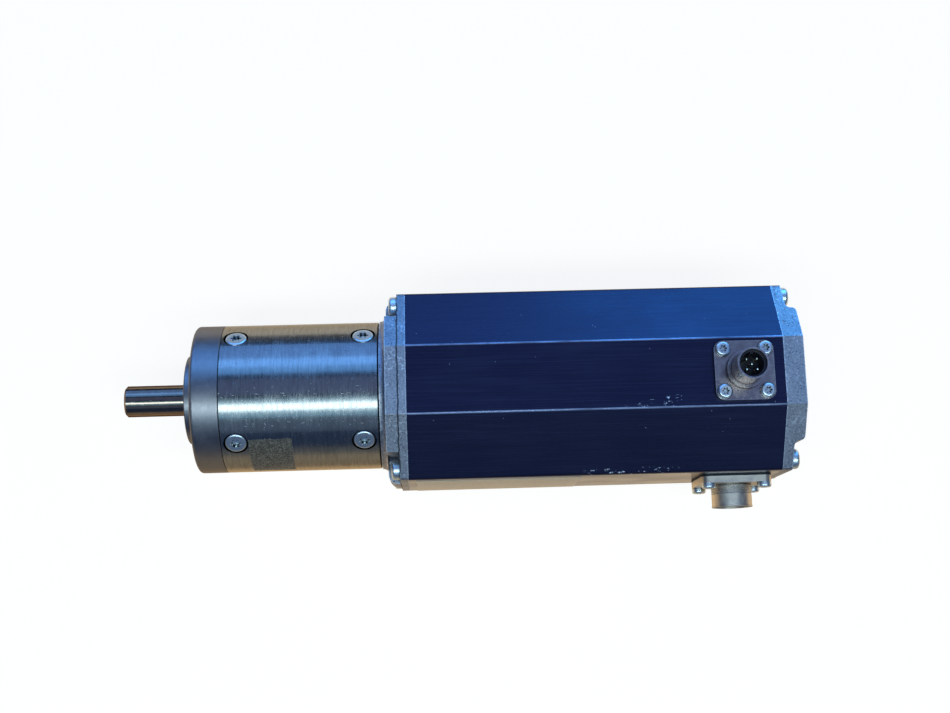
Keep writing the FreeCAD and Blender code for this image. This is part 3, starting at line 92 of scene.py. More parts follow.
class Finish:
    """A Principled material under construction. Textures read the object's own coordinates."""

    def __init__(self, name, **sockets):
        self.material = bpy.data.materials.new(name)
        self.material.use_nodes = True
        self.tree = self.material.node_tree
        self.shader = self.tree.nodes["Principled BSDF"]
        self.place = self.add("ShaderNodeTexCoord").outputs["Object"]
        for socket, value in sockets.items():
            self.set(socket.replace("_", " "), value)

    def add(self, kind, **settings):
        node = self.tree.nodes.new(kind)
        for key, value in settings.items():
            setattr(node, key, value)
        return node

    def feed(self, target, value):
        """Gives a socket a value, or links it to another node's output."""
        if isinstance(value, bpy.types.NodeSocket):
            self.tree.links.new(value, target)
        elif isinstance(value, tuple) and target.type == "RGBA":
            target.default_value = (*value, 1.0)
        else:
            target.default_value = value

    def set(self, socket, value):
        self.feed(self.shader.inputs[socket], value)

    def maths(self, operation, first, second=0.0):
        node = self.add("ShaderNodeMath", operation=operation)
        self.feed(node.inputs[0], first)
        self.feed(node.inputs[1], second)
        return node.outputs[0]

    def stretched(self, stretch, space):
        """The object's coordinates, or those of another space if given, scaled along each axis."""
        node = self.add("ShaderNodeVectorMath", operation="MULTIPLY")
        self.feed(node.inputs[0], space or self.place)
        node.inputs[1].default_value = stretch
        return node.outputs[0]

    def unrolled(self, radius, turn=0.0):
        """X and the length round the axis at `radius` mm, the pair turned by some degrees."""
        y, z = self.axis("Y"), self.axis("Z")
        flat = self.add("ShaderNodeCombineXYZ")
        self.feed(flat.inputs["X"], self.maths("MULTIPLY", self.axis("X"), MM))
        angle = self.maths("ARCTAN2", y, z)
        self.feed(flat.inputs["Y"], self.maths("MULTIPLY", angle, radius * MM))
        twist = self.add("ShaderNodeVectorRotate", rotation_type="Z_AXIS")
        self.feed(twist.inputs["Vector"], flat.outputs[0])
        twist.inputs["Angle"].default_value = math.radians(turn)
        return twist.outputs[0]

    def noise(self, size, stretch=(1.0, 1.0, 1.0), detail=3.0, rough=0.55, space=None):
        """Smooth noise between 0 and 1, with features about `size` millimetres across."""
        node = self.add("ShaderNodeTexNoise")
        self.feed(node.inputs["Vector"], self.stretched(stretch, space))
        node.inputs["Scale"].default_value = 1.0 / (size * MM)
        node.inputs["Detail"].default_value = detail
        node.inputs["Roughness"].default_value = rough
        return node.outputs["Fac"]

    def cells(self, size, chance=1.0):
        """Distance to the nearest of many scattered points, in cells of `size` millimetres."""
        node = self.add("ShaderNodeTexVoronoi")
        self.feed(node.inputs["Vector"], self.place)
        node.inputs["Scale"].default_value = 1.0 / (size * MM)
        node.inputs["Randomness"].default_value = chance
        return node.outputs["Distance"]

    def rise(self, value, low, high, start=0.0, end=1.0):
        """`value` mapped smoothly from low..high to start..end, and held there outside it."""
        node = self.add("ShaderNodeMapRange", interpolation_type="SMOOTHSTEP")
        self.feed(node.inputs["Value"], value)
        node.inputs["From Min"].default_value = low
        node.inputs["From Max"].default_value = high
        node.inputs["To Min"].default_value = start
        node.inputs["To Max"].default_value = end
        return node.outputs["Result"]

    def within(self, value, low, high, soft):
        """1 where value lies between low and high, falling to 0 over `soft` outside them."""
        up = self.rise(value, low - soft, low)
        down = self.rise(value, high, high + soft, 1.0, 0.0)
        return self.maths("MULTIPLY", up, down)

    def axis(self, name):
        """One coordinate, in millimetres."""
        split = self.add("ShaderNodeSeparateXYZ")
        self.feed(split.inputs[0], self.place)
        return self.maths("MULTIPLY", split.outputs[name], 1000.0)

    def mix(self, amount, first, second):
        """A colour between two colours."""
        node = self.add("ShaderNodeMix", data_type="RGBA")
        for number, value in ((0, amount), (6, first), (7, second)):
            self.feed(node.inputs[number], value)
        return node.outputs[2]

    def bump(self, height, depth, strength):
        """Raises the surface by `height` times `depth` millimetres, on top of any earlier bump."""
        node = self.add("ShaderNodeBump")
        node.inputs["Strength"].default_value = strength
        node.inputs["Distance"].default_value = depth * MM
        self.feed(node.inputs["Height"], height)
        earlier = self.shader.inputs["Normal"]
        if earlier.is_linked:
            self.feed(node.inputs["Normal"], earlier.links[0].from_socket)
        self.set("Normal", node.outputs["Normal"])

    def turned(self, amount):
        """Stretches highlights as on a surface turned round the X axis."""
        tangent = self.add("ShaderNodeTangent", direction_type="RADIAL", axis="X")
        self.set("Tangent", tangent.outputs[0])
        self.set("Anisotropic", amount)
        self.set("Anisotropic Rotation", 0.25)

    def strokes(self, space, width, length, share):
        """Short straight marks, 1 on a mark, about `width` by `length` mm, more as share grows."""
        field = self.noise(width, (width / length, 1.0, 1.0), detail=1.0, space=space)
        high = 0.80 - share
        return self.rise(field, high, high + 0.03)

    def crevice_shade(self, reach):
        """1 deep in a joint or corner, 0 on open surface, from what lies within `reach` mm: ambient
        occlusion, with which the finishes paint shade into their colour.
        """
        node = self.add("ShaderNodeAmbientOcclusion", samples=6)
        node.inputs["Distance"].default_value = reach * MM
        return self.rise(node.outputs["AO"], 0.45, 0.85, 1.0, 0.0)

    def edge(self, reach):
        """1 on the solid's outward edges, 0 further than about `reach` mm from them. The finishes lighten
        their colour with it: edge wear, and a painted highlight along the edges.
        """
        node = self.add("ShaderNodeAmbientOcclusion", samples=6, inside=True, only_local=True)
        node.inputs["Distance"].default_value = reach * MM
        return self.rise(node.outputs["AO"], 0.55, 0.90, 1.0, 0.0)


# ---------------------------------------------------------------- the finishes

def turned_case():
    """Bright turned steel of the gear case, scuffed, with the dull mark of an old sticker."""
    f = Finish("bright_turned_steel", Metallic=1.0, Specular_Tint=(0.70, 0.60, 0.48))
    x, y, z = f.axis("X"), f.axis("Y"), f.axis("Z")
    angle = f.maths("DEGREES", f.maths("ARCTAN2", y, z))
    unrolled = f.unrolled(CASE_RADIUS)
    streak = f.noise(0.9, (1.0, 0.10, 1.0), detail=3.0, rough=0.7, space=unrolled)
    fine = f.noise(0.35, (1.0, 0.06, 1.0), detail=2.0, rough=0.7, space=unrolled)
    cloud = f.noise(10.0, (1.0, 0.5, 0.5), detail=5.0, rough=0.6)
    along = f.strokes(f.unrolled(CASE_RADIUS, 8.0), 0.22, 3.2, 0.07)
    aslant = f.strokes(f.unrolled(CASE_RADIUS, 52.0), 0.20, 2.6, 0.06)
    across = f.strokes(f.unrolled(CASE_RADIUS, 94.0), 0.25, 4.0, 0.09)
    scuff = f.maths("MAXIMUM", along, f.maths("MAXIMUM", aslant, across))
    speck = f.rise(f.noise(0.55, detail=4.0, rough=0.8), 0.61, 0.68)
    ragged = f.maths("ADD", angle, f.rise(f.noise(1.6), 0.0, 1.0, -1.3, 1.3))
    mark = f.maths("MULTIPLY", f.within(x, *STICKER_ALONG, 0.4), f.within(ragged, *STICKER_ROUND, 1.0))
    worn = f.rise(f.noise(0.6, detail=4.0, rough=0.8), 0.36, 0.56, 0.70, 1.0)
    mark = f.maths("MULTIPLY", mark, worn)
    steel = f.mix(cloud, (0.26, 0.255, 0.24), (0.42, 0.41, 0.385))
    steel = f.mix(f.rise(streak, 0.36, 0.70, 0.0, 0.45), steel, (0.15, 0.155, 0.16))
    steel = f.mix(f.maths("MULTIPLY", scuff, 0.55), steel, (0.62, 0.64, 0.64))
    steel = f.mix(f.maths("MULTIPLY", speck, 0.45), steel, (0.09, 0.10, 0.11))
    smear = f.strokes(f.unrolled(CASE_RADIUS, 4.0), 0.35, 7.0, 0.12)
    smear = f.maths("MULTIPLY", smear, f.within(angle, *SMEAR_ROUND, 4.0))
    steel = f.mix(f.maths("MULTIPLY", smear, 0.6), steel, (0.09, 0.10, 0.12))
    gum = f.mix(f.noise(2.6, detail=5.0, rough=0.7), (0.030, 0.025, 0.018), (0.150, 0.125, 0.092))
    crumb = f.rise(f.noise(0.7, detail=5.0, rough=0.85), 0.50, 0.58)
    gum = f.mix(crumb, gum, (0.33, 0.28, 0.205))
    steel = f.mix(mark, steel, gum)
    # Painted shade: the colour darkens by ambient occlusion in joints and hollows.
    f.set("Base Color", f.mix(f.maths("MULTIPLY", f.crevice_shade(0.7), 0.85), steel, GRIME_AND_SHADE))
    rough = f.maths("ADD", f.rise(fine, 0.2, 0.8, 0.13, 0.29), f.rise(cloud, 0.35, 0.75, 0.0, 0.08))
    rough = f.maths("ADD", rough, f.maths("MULTIPLY", scuff, 0.15))
    f.set("Roughness", f.maths("ADD", rough, f.maths("MULTIPLY", mark, 0.42)))
    f.set("Metallic", f.rise(mark, 0.0, 1.0, 1.0, 0.2))
    f.bump(streak, 0.035, 0.55)
    f.bump(fine, 0.012, 0.50)
    f.bump(scuff, -0.02, 0.6)
    f.turned(0.45)
    return f.material


def satin_flange():
    """Blue-grey satin steel, finely turned on its rim and its face."""
    f = Finish("satin_turned_steel", Metallic=1.0, Specular_Tint=(0.50, 0.45, 0.39))
    y, z = f.axis("Y"), f.axis("Z")
    radius = f.maths("SQRT", f.maths("ADD", f.maths("MULTIPLY", y, y), f.maths("MULTIPLY", z, z)))
    ring = f.maths("SINE", f.maths("MULTIPLY", radius, RING_RATE))
    unrolled = f.unrolled(CASE_RADIUS)
    streak = f.noise(0.25, (1.0, 0.03, 1.0), detail=2.0, space=unrolled)
    cloud = f.noise(5.0, detail=5.0)
    grain = f.noise(0.4, detail=4.0, rough=0.8)
    nick = f.maths("MAXIMUM", f.strokes(f.unrolled(CASE_RADIUS, 20.0), 0.25, 2.4, 0.06),
                   f.strokes(f.unrolled(CASE_RADIUS, 75.0), 0.25, 2.0, 0.05))
    steel = f.mix(cloud, (0.215, 0.210, 0.212), (0.345, 0.335, 0.34))
    steel = f.mix(f.rise(grain, 0.50, 0.70, 0.0, 0.45), steel, (0.11, 0.10, 0.10))
    steel = f.mix(f.maths("MULTIPLY", nick, 0.6), steel, (0.05, 0.05, 0.07))
    # Outward edges lightened: edge wear, and a painted highlight along them.
    steel = f.mix(f.maths("MULTIPLY", f.edge(0.35), 0.7), steel, (0.60, 0.61, 0.64))
    # Painted shade: the colour darkens by ambient occlusion in joints and hollows.
    f.set("Base Color", f.mix(f.maths("MULTIPLY", f.crevice_shade(0.7), 0.9), steel, GRIME_AND_SHADE))
    f.set("Roughness", f.rise(f.maths("ADD", streak, cloud), 0.6, 1.4, 0.34, 0.48))
    f.bump(streak, 0.010, 0.5)
    f.bump(ring, 0.002, 0.35)
    f.bump(nick, -0.03, 0.6)
    f.turned(0.3)
    return f.material


def polished_shaft():
    """Ground and polished steel with a few fine rub marks."""
    f = Finish("ground_shaft_steel", Metallic=1.0, Specular_Tint=(0.16, 0.14, 0.12))
    unrolled = f.unrolled(SHAFT_RADIUS)
    streak = f.noise(0.18, (1.0, 0.05, 1.0), detail=2.0, space=unrolled)
    rub = f.maths("MAXIMUM", f.strokes(f.unrolled(SHAFT_RADIUS, 5.0), 0.16, 3.5, 0.08),
                  f.strokes(f.unrolled(SHAFT_RADIUS, 64.0), 0.16, 1.8, 0.07))
    cloud = f.noise(3.0, detail=5.0)
    speck = f.rise(f.noise(0.5, detail=4.0, rough=0.8), 0.62, 0.70)
    steel = f.mix(cloud, (0.17, 0.13, 0.105), (0.31, 0.24, 0.19))
    steel = f.mix(f.maths("MULTIPLY", speck, 0.5), steel, (0.06, 0.06, 0.07))
    f.set("Base Color", f.mix(f.maths("MULTIPLY", rub, 0.5), steel, (0.80, 0.80, 0.80)))
    f.set("Roughness", f.rise(f.maths("ADD", streak, cloud), 0.7, 1.3, 0.07, 0.18))
    f.bump(streak, 0.006, 0.35)
    f.bump(rub, -0.01, 0.4)
    f.turned(0.4)
    return f.material


def cast_aluminium():
    """Die cast aluminium: grainy, pitted, with painted shade in its corners, and rubbed bright on its
    edges, where the brightening also paints a highlight.
    """
    f = Finish("cast_aluminium_skin", Metallic=1.0, Specular_Tint=(0.70, 0.66, 0.62))
    grain = f.noise(0.75, detail=5.0, rough=0.80)
    flow = f.noise(4.0, (1.0, 0.6, 0.6), detail=5.0)
    pit = f.rise(f.cells(1.1), 0.14, 0.30, 1.0, 0.0)
    pit = f.maths("MULTIPLY", pit, f.rise(f.noise(2.2), 0.42, 0.56))
    oxide = f.maths("MULTIPLY", f.rise(f.noise(1.3, detail=4.0, rough=0.75), 0.53, 0.60),
                    f.rise(f.noise(8.0, detail=1.0), 0.46, 0.54))
    # Edge wear, which also serves as a painted highlight along the edges.
    rub = f.maths("MULTIPLY", f.edge(0.55), f.rise(f.noise(0.9, detail=3.0), 0.30, 0.55))
    skin = f.mix(flow, (0.24, 0.25, 0.28), (0.46, 0.47, 0.50))
    skin = f.mix(f.rise(grain, 0.53, 0.66, 0.0, 0.65), skin, (0.80, 0.82, 0.85))
    skin = f.mix(f.rise(grain, 0.35, 0.46, 0.75, 0.0), skin, (0.08, 0.09, 0.12))
    skin = f.mix(f.maths("MULTIPLY", pit, 0.75), skin, (0.05, 0.055, 0.075))
    skin = f.mix(f.maths("MULTIPLY", oxide, 0.55), skin, (0.80, 0.83, 0.86))
    skin = f.mix(f.maths("MULTIPLY", rub, 0.85), skin, (0.88, 0.90, 0.93))
    wander = f.rise(f.noise(3.0), 0.3, 0.7, -0.2, 0.2)
    parting = f.within(f.maths("ADD", f.axis("X"), wander), *PARTING_LINE, 0.2)
    skin = f.mix(f.maths("MULTIPLY", parting, 0.8), skin, GRIME_AND_SHADE)
    # Painted shade: the colour darkens by ambient occlusion in corners and joints.
    f.set("Base Color", f.mix(f.maths("MULTIPLY", f.crevice_shade(1.2), 0.9), skin, GRIME_AND_SHADE))
    f.set("Roughness", f.rise(grain, 0.3, 0.7, 0.38, 0.58))
    f.bump(grain, 0.09, 0.65)
    f.bump(flow, 0.15, 0.45)
    f.bump(pit, -0.10, 0.8)
    f.bump(parting, -0.12, 0.8)
    return f.material


def anodised():
    """Black anodised extrusion: drawing lines, dust specks, nicks and edges rubbed to metal, a painted
    bluish highlight along the top face's edges, and painted shade in its joints.
    """
    f = Finish("black_anodised_skin", IOR=1.7, Specular_Tint=(0.42, 0.50, 1.0))
    x, y, z = f.axis("X"), f.axis("Y"), f.axis("Z")
    draw = f.noise(0.40, (0.012, 1.0, 1.0), detail=3.0, rough=0.65)
    band = f.noise(2.2, (0.03, 1.0, 1.0), detail=4.0)
    haze = f.noise(20.0, (0.6, 1.0, 1.0), detail=5.0)
    grain = f.noise(0.5, (0.4, 1.0, 1.0), detail=4.0, rough=0.8)
    speck = f.rise(f.cells(4.2), 0.020, 0.032, 1.0, 0.0)
    speck = f.maths("MULTIPLY", speck, f.rise(f.noise(2.6), 0.50, 0.54))
    chip = f.rise(f.noise(1.0, (0.6, 1.0, 1.0), detail=3.0, rough=0.75), 0.605, 0.625)
    patch = f.rise(f.noise(7.0, detail=1.0), 0.48, 0.51)
    near_side = f.rise(y, -20.0, -15.0, 1.0, 0.0)
    on_top = f.rise(z, *TOP_FACE_LEVEL)
    side_edge = f.maths("MULTIPLY", f.within(z, *SIDE_CHIPS_UP, 0.5), near_side)
    side_edge = f.maths("MULTIPLY", side_edge, f.within(x, *SIDE_CHIPS_ALONG, 8.0))
    top_edge = f.maths("MULTIPLY", f.within(y, *TOP_CHIPS_ACROSS, 0.5), on_top)
    top_edge = f.maths("MULTIPLY", top_edge, f.within(x, *TOP_CHIPS_ALONG, 3.0))
    nick = f.maths("MULTIPLY", chip, patch)
    nick = f.maths("MULTIPLY", nick, f.maths("MAXIMUM", side_edge, top_edge))
    worn = f.rise(f.noise(7.0, (0.25, 1.0, 1.0), detail=4.0, rough=0.7), 0.30, 0.60, 0.25, 1.0)
    # Painted highlight: a bluish, partly metallic line along the top face's edges, broken up where the
    # film looks worn.
    ridge = f.within(f.maths("ABSOLUTE", y), *TOP_FACE_EDGE, 0.10)
    ridge = f.maths("MULTIPLY", ridge, f.rise(f.maths("ABSOLUTE", z), *TOP_FACE_LEVEL))
    ridge = f.maths("MULTIPLY", ridge, worn)
    rub = f.strokes(f.unrolled(HOUSING_RADIUS, 5.0), 0.20, 4.0, 0.05)
    film = f.mix(band, (0.0030, 0.0030, 0.0080), (0.0066, 0.0062, 0.0180))
    film = f.mix(f.rise(draw, 0.45, 0.75, 0.0, 0.8), film, (0.0130, 0.0120, 0.0310))
    film = f.mix(f.rise(grain, 0.54, 0.72, 0.0, 0.6), film, (0.0006, 0.0006, 0.0030))
    film = f.mix(f.maths("MULTIPLY", rub, 0.30), film, (0.05, 0.06, 0.10))
    bare = f.maths("MAXIMUM", speck, nick)
    # The painted highlight on the top face's edges.
    film = f.mix(f.maths("MULTIPLY", ridge, 0.8), film, (0.40, 0.46, 0.62))
    film = f.mix(bare, film, (0.78, 0.80, 0.86))
    # Painted shade: the film darkens by ambient occlusion in joints and hollows.
    painted_shade = f.maths("MULTIPLY", f.crevice_shade(0.8), 0.9)
    f.set("Base Color", f.mix(painted_shade, film, (0.001, 0.001, 0.002)))
    # Metallic only on the painted edge highlight.
    f.set("Metallic", f.maths("MULTIPLY", ridge, 0.6))
    drawn = f.rise(draw, 0.3, 0.7, 0.20, 0.30)
    f.set("Roughness", f.maths("ADD", drawn, f.rise(haze, 0.3, 0.7, 0.0, 0.08)))
    f.bump(draw, 0.012, 0.40)
    f.bump(bare, -0.05, 0.6)
    return f.material


def zinc_screw():
    """Blue-white zinc plating over machined steel, its edges lightened as worn and as a painted
    highlight, and painted shade darkening the recess.
    """
    f = Finish("zinc_plated_steel", Metallic=1.0, Specular_Tint=(0.8, 0.8, 0.8))
    grain = f.noise(0.30, detail=4.0, rough=0.7)
    cloud = f.noise(1.5, detail=4.0)
    plate = f.mix(cloud, (0.60, 0.68, 0.70), (0.90, 0.97, 0.97))
    plate = f.mix(f.rise(grain, 0.56, 0.70, 0.0, 0.6), plate, (0.16, 0.20, 0.23))
    # Outward edges lightened: edge wear, and a painted highlight along them.
    plate = f.mix(f.maths("MULTIPLY", f.edge(0.35), 0.75), plate, (0.92, 0.96, 0.96))
    # Painted shade: the recess and joints darken by ambient occlusion.
    f.set("Base Color", f.mix(f.maths("MULTIPLY", f.crevice_shade(1.1), 0.95), plate, GRIME_AND_SHADE))
    f.set("Roughness", f.rise(grain, 0.3, 0.7, 0.26, 0.42))
    f.bump(grain, 0.03, 0.5)
    return f.material


def nickel(name, cool, warm, rough):
    """Nickel plate over machined brass."""
    f = Finish(name, Metallic=1.0, Specular_Tint=(0.75, 0.72, 0.68))
    grain = f.noise(0.30, detail=4.0, rough=0.7)
    cloud = f.noise(2.6, detail=5.0)
    plate = f.mix(cloud, cool, warm)
    plate = f.mix(f.rise(grain, 0.55, 0.70, 0.0, 0.55), plate, (0.13, 0.125, 0.12))
    # Outward edges lightened: edge wear, and a painted highlight along them.
    plate = f.mix(f.maths("MULTIPLY", f.edge(0.30), 0.7), plate, (0.86, 0.86, 0.84))
    # Painted shade: the colour darkens by ambient occlusion in joints and hollows.
    f.set("Base Color", f.mix(f.maths("MULTIPLY", f.crevice_shade(0.9), 0.85), plate, GRIME_AND_SHADE))
    f.set("Roughness", f.rise(cloud, 0.3, 0.7, rough, rough + 0.14))
    f.bump(grain, 0.02, 0.4)
    return f.material


def contact_plating():
    f = Finish("contact_plating", Metallic=1.0)
    tarnish = f.noise(0.5, detail=4.0)
    f.set("Base Color", f.mix(tarnish, (0.80, 0.72, 0.46), (0.95, 0.90, 0.74)))
    f.set("Roughness", f.rise(tarnish, 0.3, 0.7, 0.16, 0.30))
    return f.material


def moulded_plastic():
    f = Finish("moulded_black_plastic", IOR=1.5)
    grain = f.noise(0.12, detail=3.0, rough=0.6)
    flow = f.noise(2.5, detail=4.0)
    f.set("Base Color", f.mix(flow, (0.003, 0.003, 0.008), (0.010, 0.010, 0.020)))
    f.set("Roughness", f.rise(flow, 0.3, 0.7, 0.34, 0.50))
    f.bump(grain, 0.010, 0.5)
    return f.material


def rubber(name, dark, light, rough):
    f = Finish(name, IOR=1.45)
    grain = f.noise(0.20, detail=4.0, rough=0.7)
    dust = f.noise(2.2, detail=5.0)
    f.set("Base Color", f.mix(f.rise(dust, 0.35, 0.75), dark, light))
    f.set("Roughness", f.rise(dust, 0.3, 0.7, rough, rough + 0.18))
    f.bump(grain, 0.02, 0.5)
    return f.material


def hobbed_steel():
    """Hardened gear steel, dark in oil, bright where the teeth run."""
    f = Finish("hobbed_gear_steel", Metallic=1.0)
    feed = f.noise(0.22, (1.0, 0.2, 0.2), detail=3.0)
    oil = f.noise(4.0, detail=5.0)
    f.set("Base Color", f.mix(oil, (0.34, 0.33, 0.33), (0.56, 0.56, 0.58)))
    f.set("Roughness", f.rise(f.maths("ADD", feed, oil), 0.7, 1.3, 0.20, 0.38))
    f.bump(feed, 0.010, 0.5)
    return f.material


def ground_steel():
    f = Finish("ground_bearing_steel", Metallic=1.0)
    lap = f.noise(0.15, (1.0, 0.15, 0.15), detail=2.0)
    oil = f.noise(3.0, detail=4.0)
    f.set("Base Color", f.mix(oil, (0.60, 0.60, 0.61), (0.78, 0.79, 0.81)))
    f.set("Roughness", f.rise(oil, 0.3, 0.7, 0.10, 0.22))
    f.bump(lap, 0.004, 0.4)
    return f.material


def laminated_steel():
    """Stacked electrical steel sheets, half a millimetre each, seen on edge."""
    f = Finish("laminated_core_steel", Metallic=1.0)
    sheet = f.maths("SINE", f.maths("MULTIPLY", f.axis("X"), 2.0 * math.pi / SHEET_THICKNESS))
    stain = f.noise(5.0, detail=5.0)
    tone = f.mix(stain, (0.24, 0.24, 0.27), (0.44, 0.44, 0.46))
    f.set("Base Color", f.mix(f.rise(sheet, -1.0, -0.4, 0.6, 0.0), tone, (0.05, 0.05, 0.06)))
    f.set("Roughness", f.rise(stain, 0.3, 0.7, 0.34, 0.52))
    f.bump(sheet, 0.02, 0.5)
    return f.material


def magnet_coating():
    f = Finish("magnet_coating", Metallic=1.0)
    grain = f.noise(0.4, detail=5.0, rough=0.75)
    f.set("Base Color", f.mix(grain, (0.20, 0.20, 0.22), (0.40, 0.40, 0.43)))
    f.set("Roughness", f.rise(grain, 0.3, 0.7, 0.34, 0.52))
    f.bump(grain, 0.02, 0.5)
    return f.material


def wound_copper():
    """Enamelled copper wire laid side by side along the slots."""
    f = Finish("enamelled_copper_wire", Metallic=0.85, Coat_Weight=0.4, Coat_Roughness=0.15)
    turn = f.maths("ARCTAN2", f.axis("Y"), f.axis("Z"))
    wire = f.maths("SINE", f.maths("MULTIPLY", turn, WIRES_ROUND))
    varnish = f.noise(3.0, detail=4.0)
    tone = f.mix(varnish, (0.46, 0.17, 0.07), (0.72, 0.33, 0.15))
    f.set("Base Color", f.mix(f.rise(wire, -1.0, -0.3, 0.7, 0.0), tone, (0.10, 0.03, 0.015)))
    f.set("Roughness", f.rise(varnish, 0.3, 0.7, 0.24, 0.38))
    f.bump(wire, 0.08, 0.6)
    return f.material


def solder_mask():
    """Green board with a weave under the mask and rows of tinned pads."""
    f = Finish("green_solder_mask", IOR=1.5, Coat_Weight=0.3)
    weave = f.cells(0.9, chance=0.0)
    pad = f.rise(f.cells(2.54, chance=0.0), 0.16, 0.20, 1.0, 0.0)
    pad = f.maths("MULTIPLY", pad, f.rise(f.noise(9.0, detail=1.0), 0.52, 0.56))
    mask = f.mix(weave, (0.010, 0.075, 0.030), (0.018, 0.125, 0.050))
    f.set("Base Color", f.mix(pad, mask, (0.70, 0.70, 0.68)))
    f.set("Metallic", pad)
    f.set("Roughness", f.rise(weave, 0.1, 0.7, 0.26, 0.40))
    f.bump(weave, 0.02, 0.4)
    return f.material


def label_film():
    """Off-white film with ruled fields, yellowed and rubbed. It carries no lettering."""
    f = Finish("aged_label_film", IOR=1.4)
    x, z = f.axis("X"), f.axis("Z")
    age = f.noise(6.0, detail=5.0)
    rub = f.rise(f.noise(0.8, (0.5, 1.0, 1.0), detail=4.0, rough=0.75), 0.42, 0.60)
    row = f.maths("SUBTRACT", f.maths("PINGPONG", z, RULE_PITCH), RULE_PITCH / 2)
    rule = f.within(f.maths("ABSOLUTE", row), -0.1, 0.14, 0.10)
    inside = f.maths("MULTIPLY", f.within(x, *FIELDS_ALONG, 0.15), f.within(z, *FIELDS_UP, 0.15))
    ink = f.maths("MULTIPLY", f.maths("MULTIPLY", rule, inside), rub)
    paper = f.mix(age, (0.72, 0.52, 0.33), (0.94, 0.74, 0.50))
    f.set("Base Color", f.mix(f.maths("MULTIPLY", ink, 0.7), paper, (0.12, 0.10, 0.08)))
    f.set("Roughness", f.rise(age, 0.3, 0.7, 0.44, 0.60))
    f.bump(age, 0.05, 0.4)
    return f.material


def pale_floor():
    """A pale top to the camera, which the metal mirrors as a tan table, white behind and dim far off."""
    f = Finish("pale_studio_floor", Emission_Strength=1.0, Roughness=0.8)
    grain = f.noise(4.0, detail=4.0)
    f.set("Base Color", f.mix(grain, (0.29, 0.225, 0.15), (0.31, 0.240, 0.16)))
    y, mirrored = f.axis("Y"), FAR_FLOOR
    for begins, full, colour in MIRRORED_FLOOR:
        mirrored = f.mix(f.rise(y, begins, full), mirrored, colour)
    seen = f.add("ShaderNodeLightPath").outputs["Is Camera Ray"]
    f.set("Emission Color", f.mix(seen, mirrored, (0.88, 0.89, 0.90)))
    return f.material


FINISHES = {
    "shaft_steel": polished_shaft(),
    "case_steel": turned_case(),
    "flange_steel": satin_flange(),
    "cast_aluminium": cast_aluminium(),
    "black_anodised": anodised(),
    "screw_steel": zinc_screw(),
    "nickel_plate": nickel("bright_nickel", (0.29, 0.25, 0.26), (0.54, 0.48, 0.45), 0.20),
    "contact_gold": contact_plating(),
    "black_plastic": moulded_plastic(),
    "seal_rubber": rubber("nitrile_rubber", (0.010, 0.010, 0.012), (0.035, 0.034, 0.034), 0.62),
    "gear_steel": hobbed_steel(),
    "bearing_steel": ground_steel(),
    "electrical_steel": laminated_steel(),
    "magnet": magnet_coating(),
    "copper": wound_copper(),
    "circuit_board": solder_mask(),
    "lead_rubber": rubber("lead_sheath", (0.016, 0.016, 0.020), (0.045, 0.045, 0.050), 0.5),
    "label_film": label_film(),
}
DULL_NICKEL = nickel("dull_nickel", (0.62, 0.54, 0.43), (0.88, 0.79, 0.65), 0.36)


def dress_cad_nodes():
    """Every CAD node takes its own slot's finish, but the power socket's shell a duller nickel."""
    for node in nodes.values():
        for slot in node.material_slots:
            slot.material = FINISHES[slot.material.name.split(".")[0]]
    for slot in nodes["power_socket_shell"].material_slots:
        slot.material = DULL_NICKEL


# ---------------------------------------------------------------- pieces

def lathe(name, profile, place, steps=96):
    """A closed ring on root: a profile of (radius, height) corners in mm, turned round its own Z axis."""
    mesh = bpy.data.meshes.new(name)
    shape = bmesh.new()
    rings = []
    for step in range(steps):
        angle = 2.0 * math.pi * step / steps
        side = Vector((math.cos(angle), math.sin(angle), 0.0))
        corners = [side * radius * MM + Vector((0.0, 0.0, height * MM)) for radius, height in profile]
        rings.append([shape.verts.new(place @ corner) for corner in corners])
    for step in range(steps):
        ring, following = rings[step], rings[(step + 1) % steps]
        for low in range(len(profile)):
            high = (low + 1) % len(profile)
            shape.faces.new((ring[low], following[low], following[high], ring[high]))
    bmesh.ops.recalc_face_normals(shape, faces=shape.faces)
    shape.to_mesh(mesh)
    shape.free()
    mesh.shade_smooth()
    mesh.set_sharp_from_angle(angle=math.radians(35.0))
    mesh.materials.append(DULL_NICKEL)
    piece = bpy.data.objects.new(name, mesh)
    bpy.context.scene.collection.objects.link(piece)
    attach(piece, "root")


def ridged(inner, root, crest, start, end, pitch):
    """A sleeve's profile with a ridge at every pitch between start and end."""
    outside = [(root, start)]
    for number in range(int((end - start) / pitch)):
        low = start + number * pitch
        outside += [(root, low + 0.20 * pitch), (crest, low + 0.45 * pitch),
                    (crest, low + 0.65 * pitch), (root, low + 0.90 * pitch)]
    return [(inner, start)] + outside + [(root, end), (inner, end)]


def make_power_socket_rings():
    """The power socket's coupling thread and the bead round its mouth."""
    low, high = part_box("power_socket_shell")
    foot = Vector(((low.x + high.x) / 2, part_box("motor_housing")[0].y, 0.0))
    outward = Matrix.Translation(foot) @ Matrix.Rotation(math.pi / 2, 4, "X")
    thread = ridged(inner=7.8, root=7.92, crest=8.22, start=3.5, end=7.2, pitch=0.9)
    lathe("power_socket_thread", thread, outward)
    bore, wall, bead, start, mouth, edge = 7.2, 8.05, 8.26, 11.8, 12.4, 0.1
    rim = [(bore, start), (wall, start), (bead, start + edge),
           (bead, mouth - edge), (wall, mouth), (bore, mouth)]
    lathe("power_socket_rim", rim, outward)


# ---------------------------------------------------------------- stage

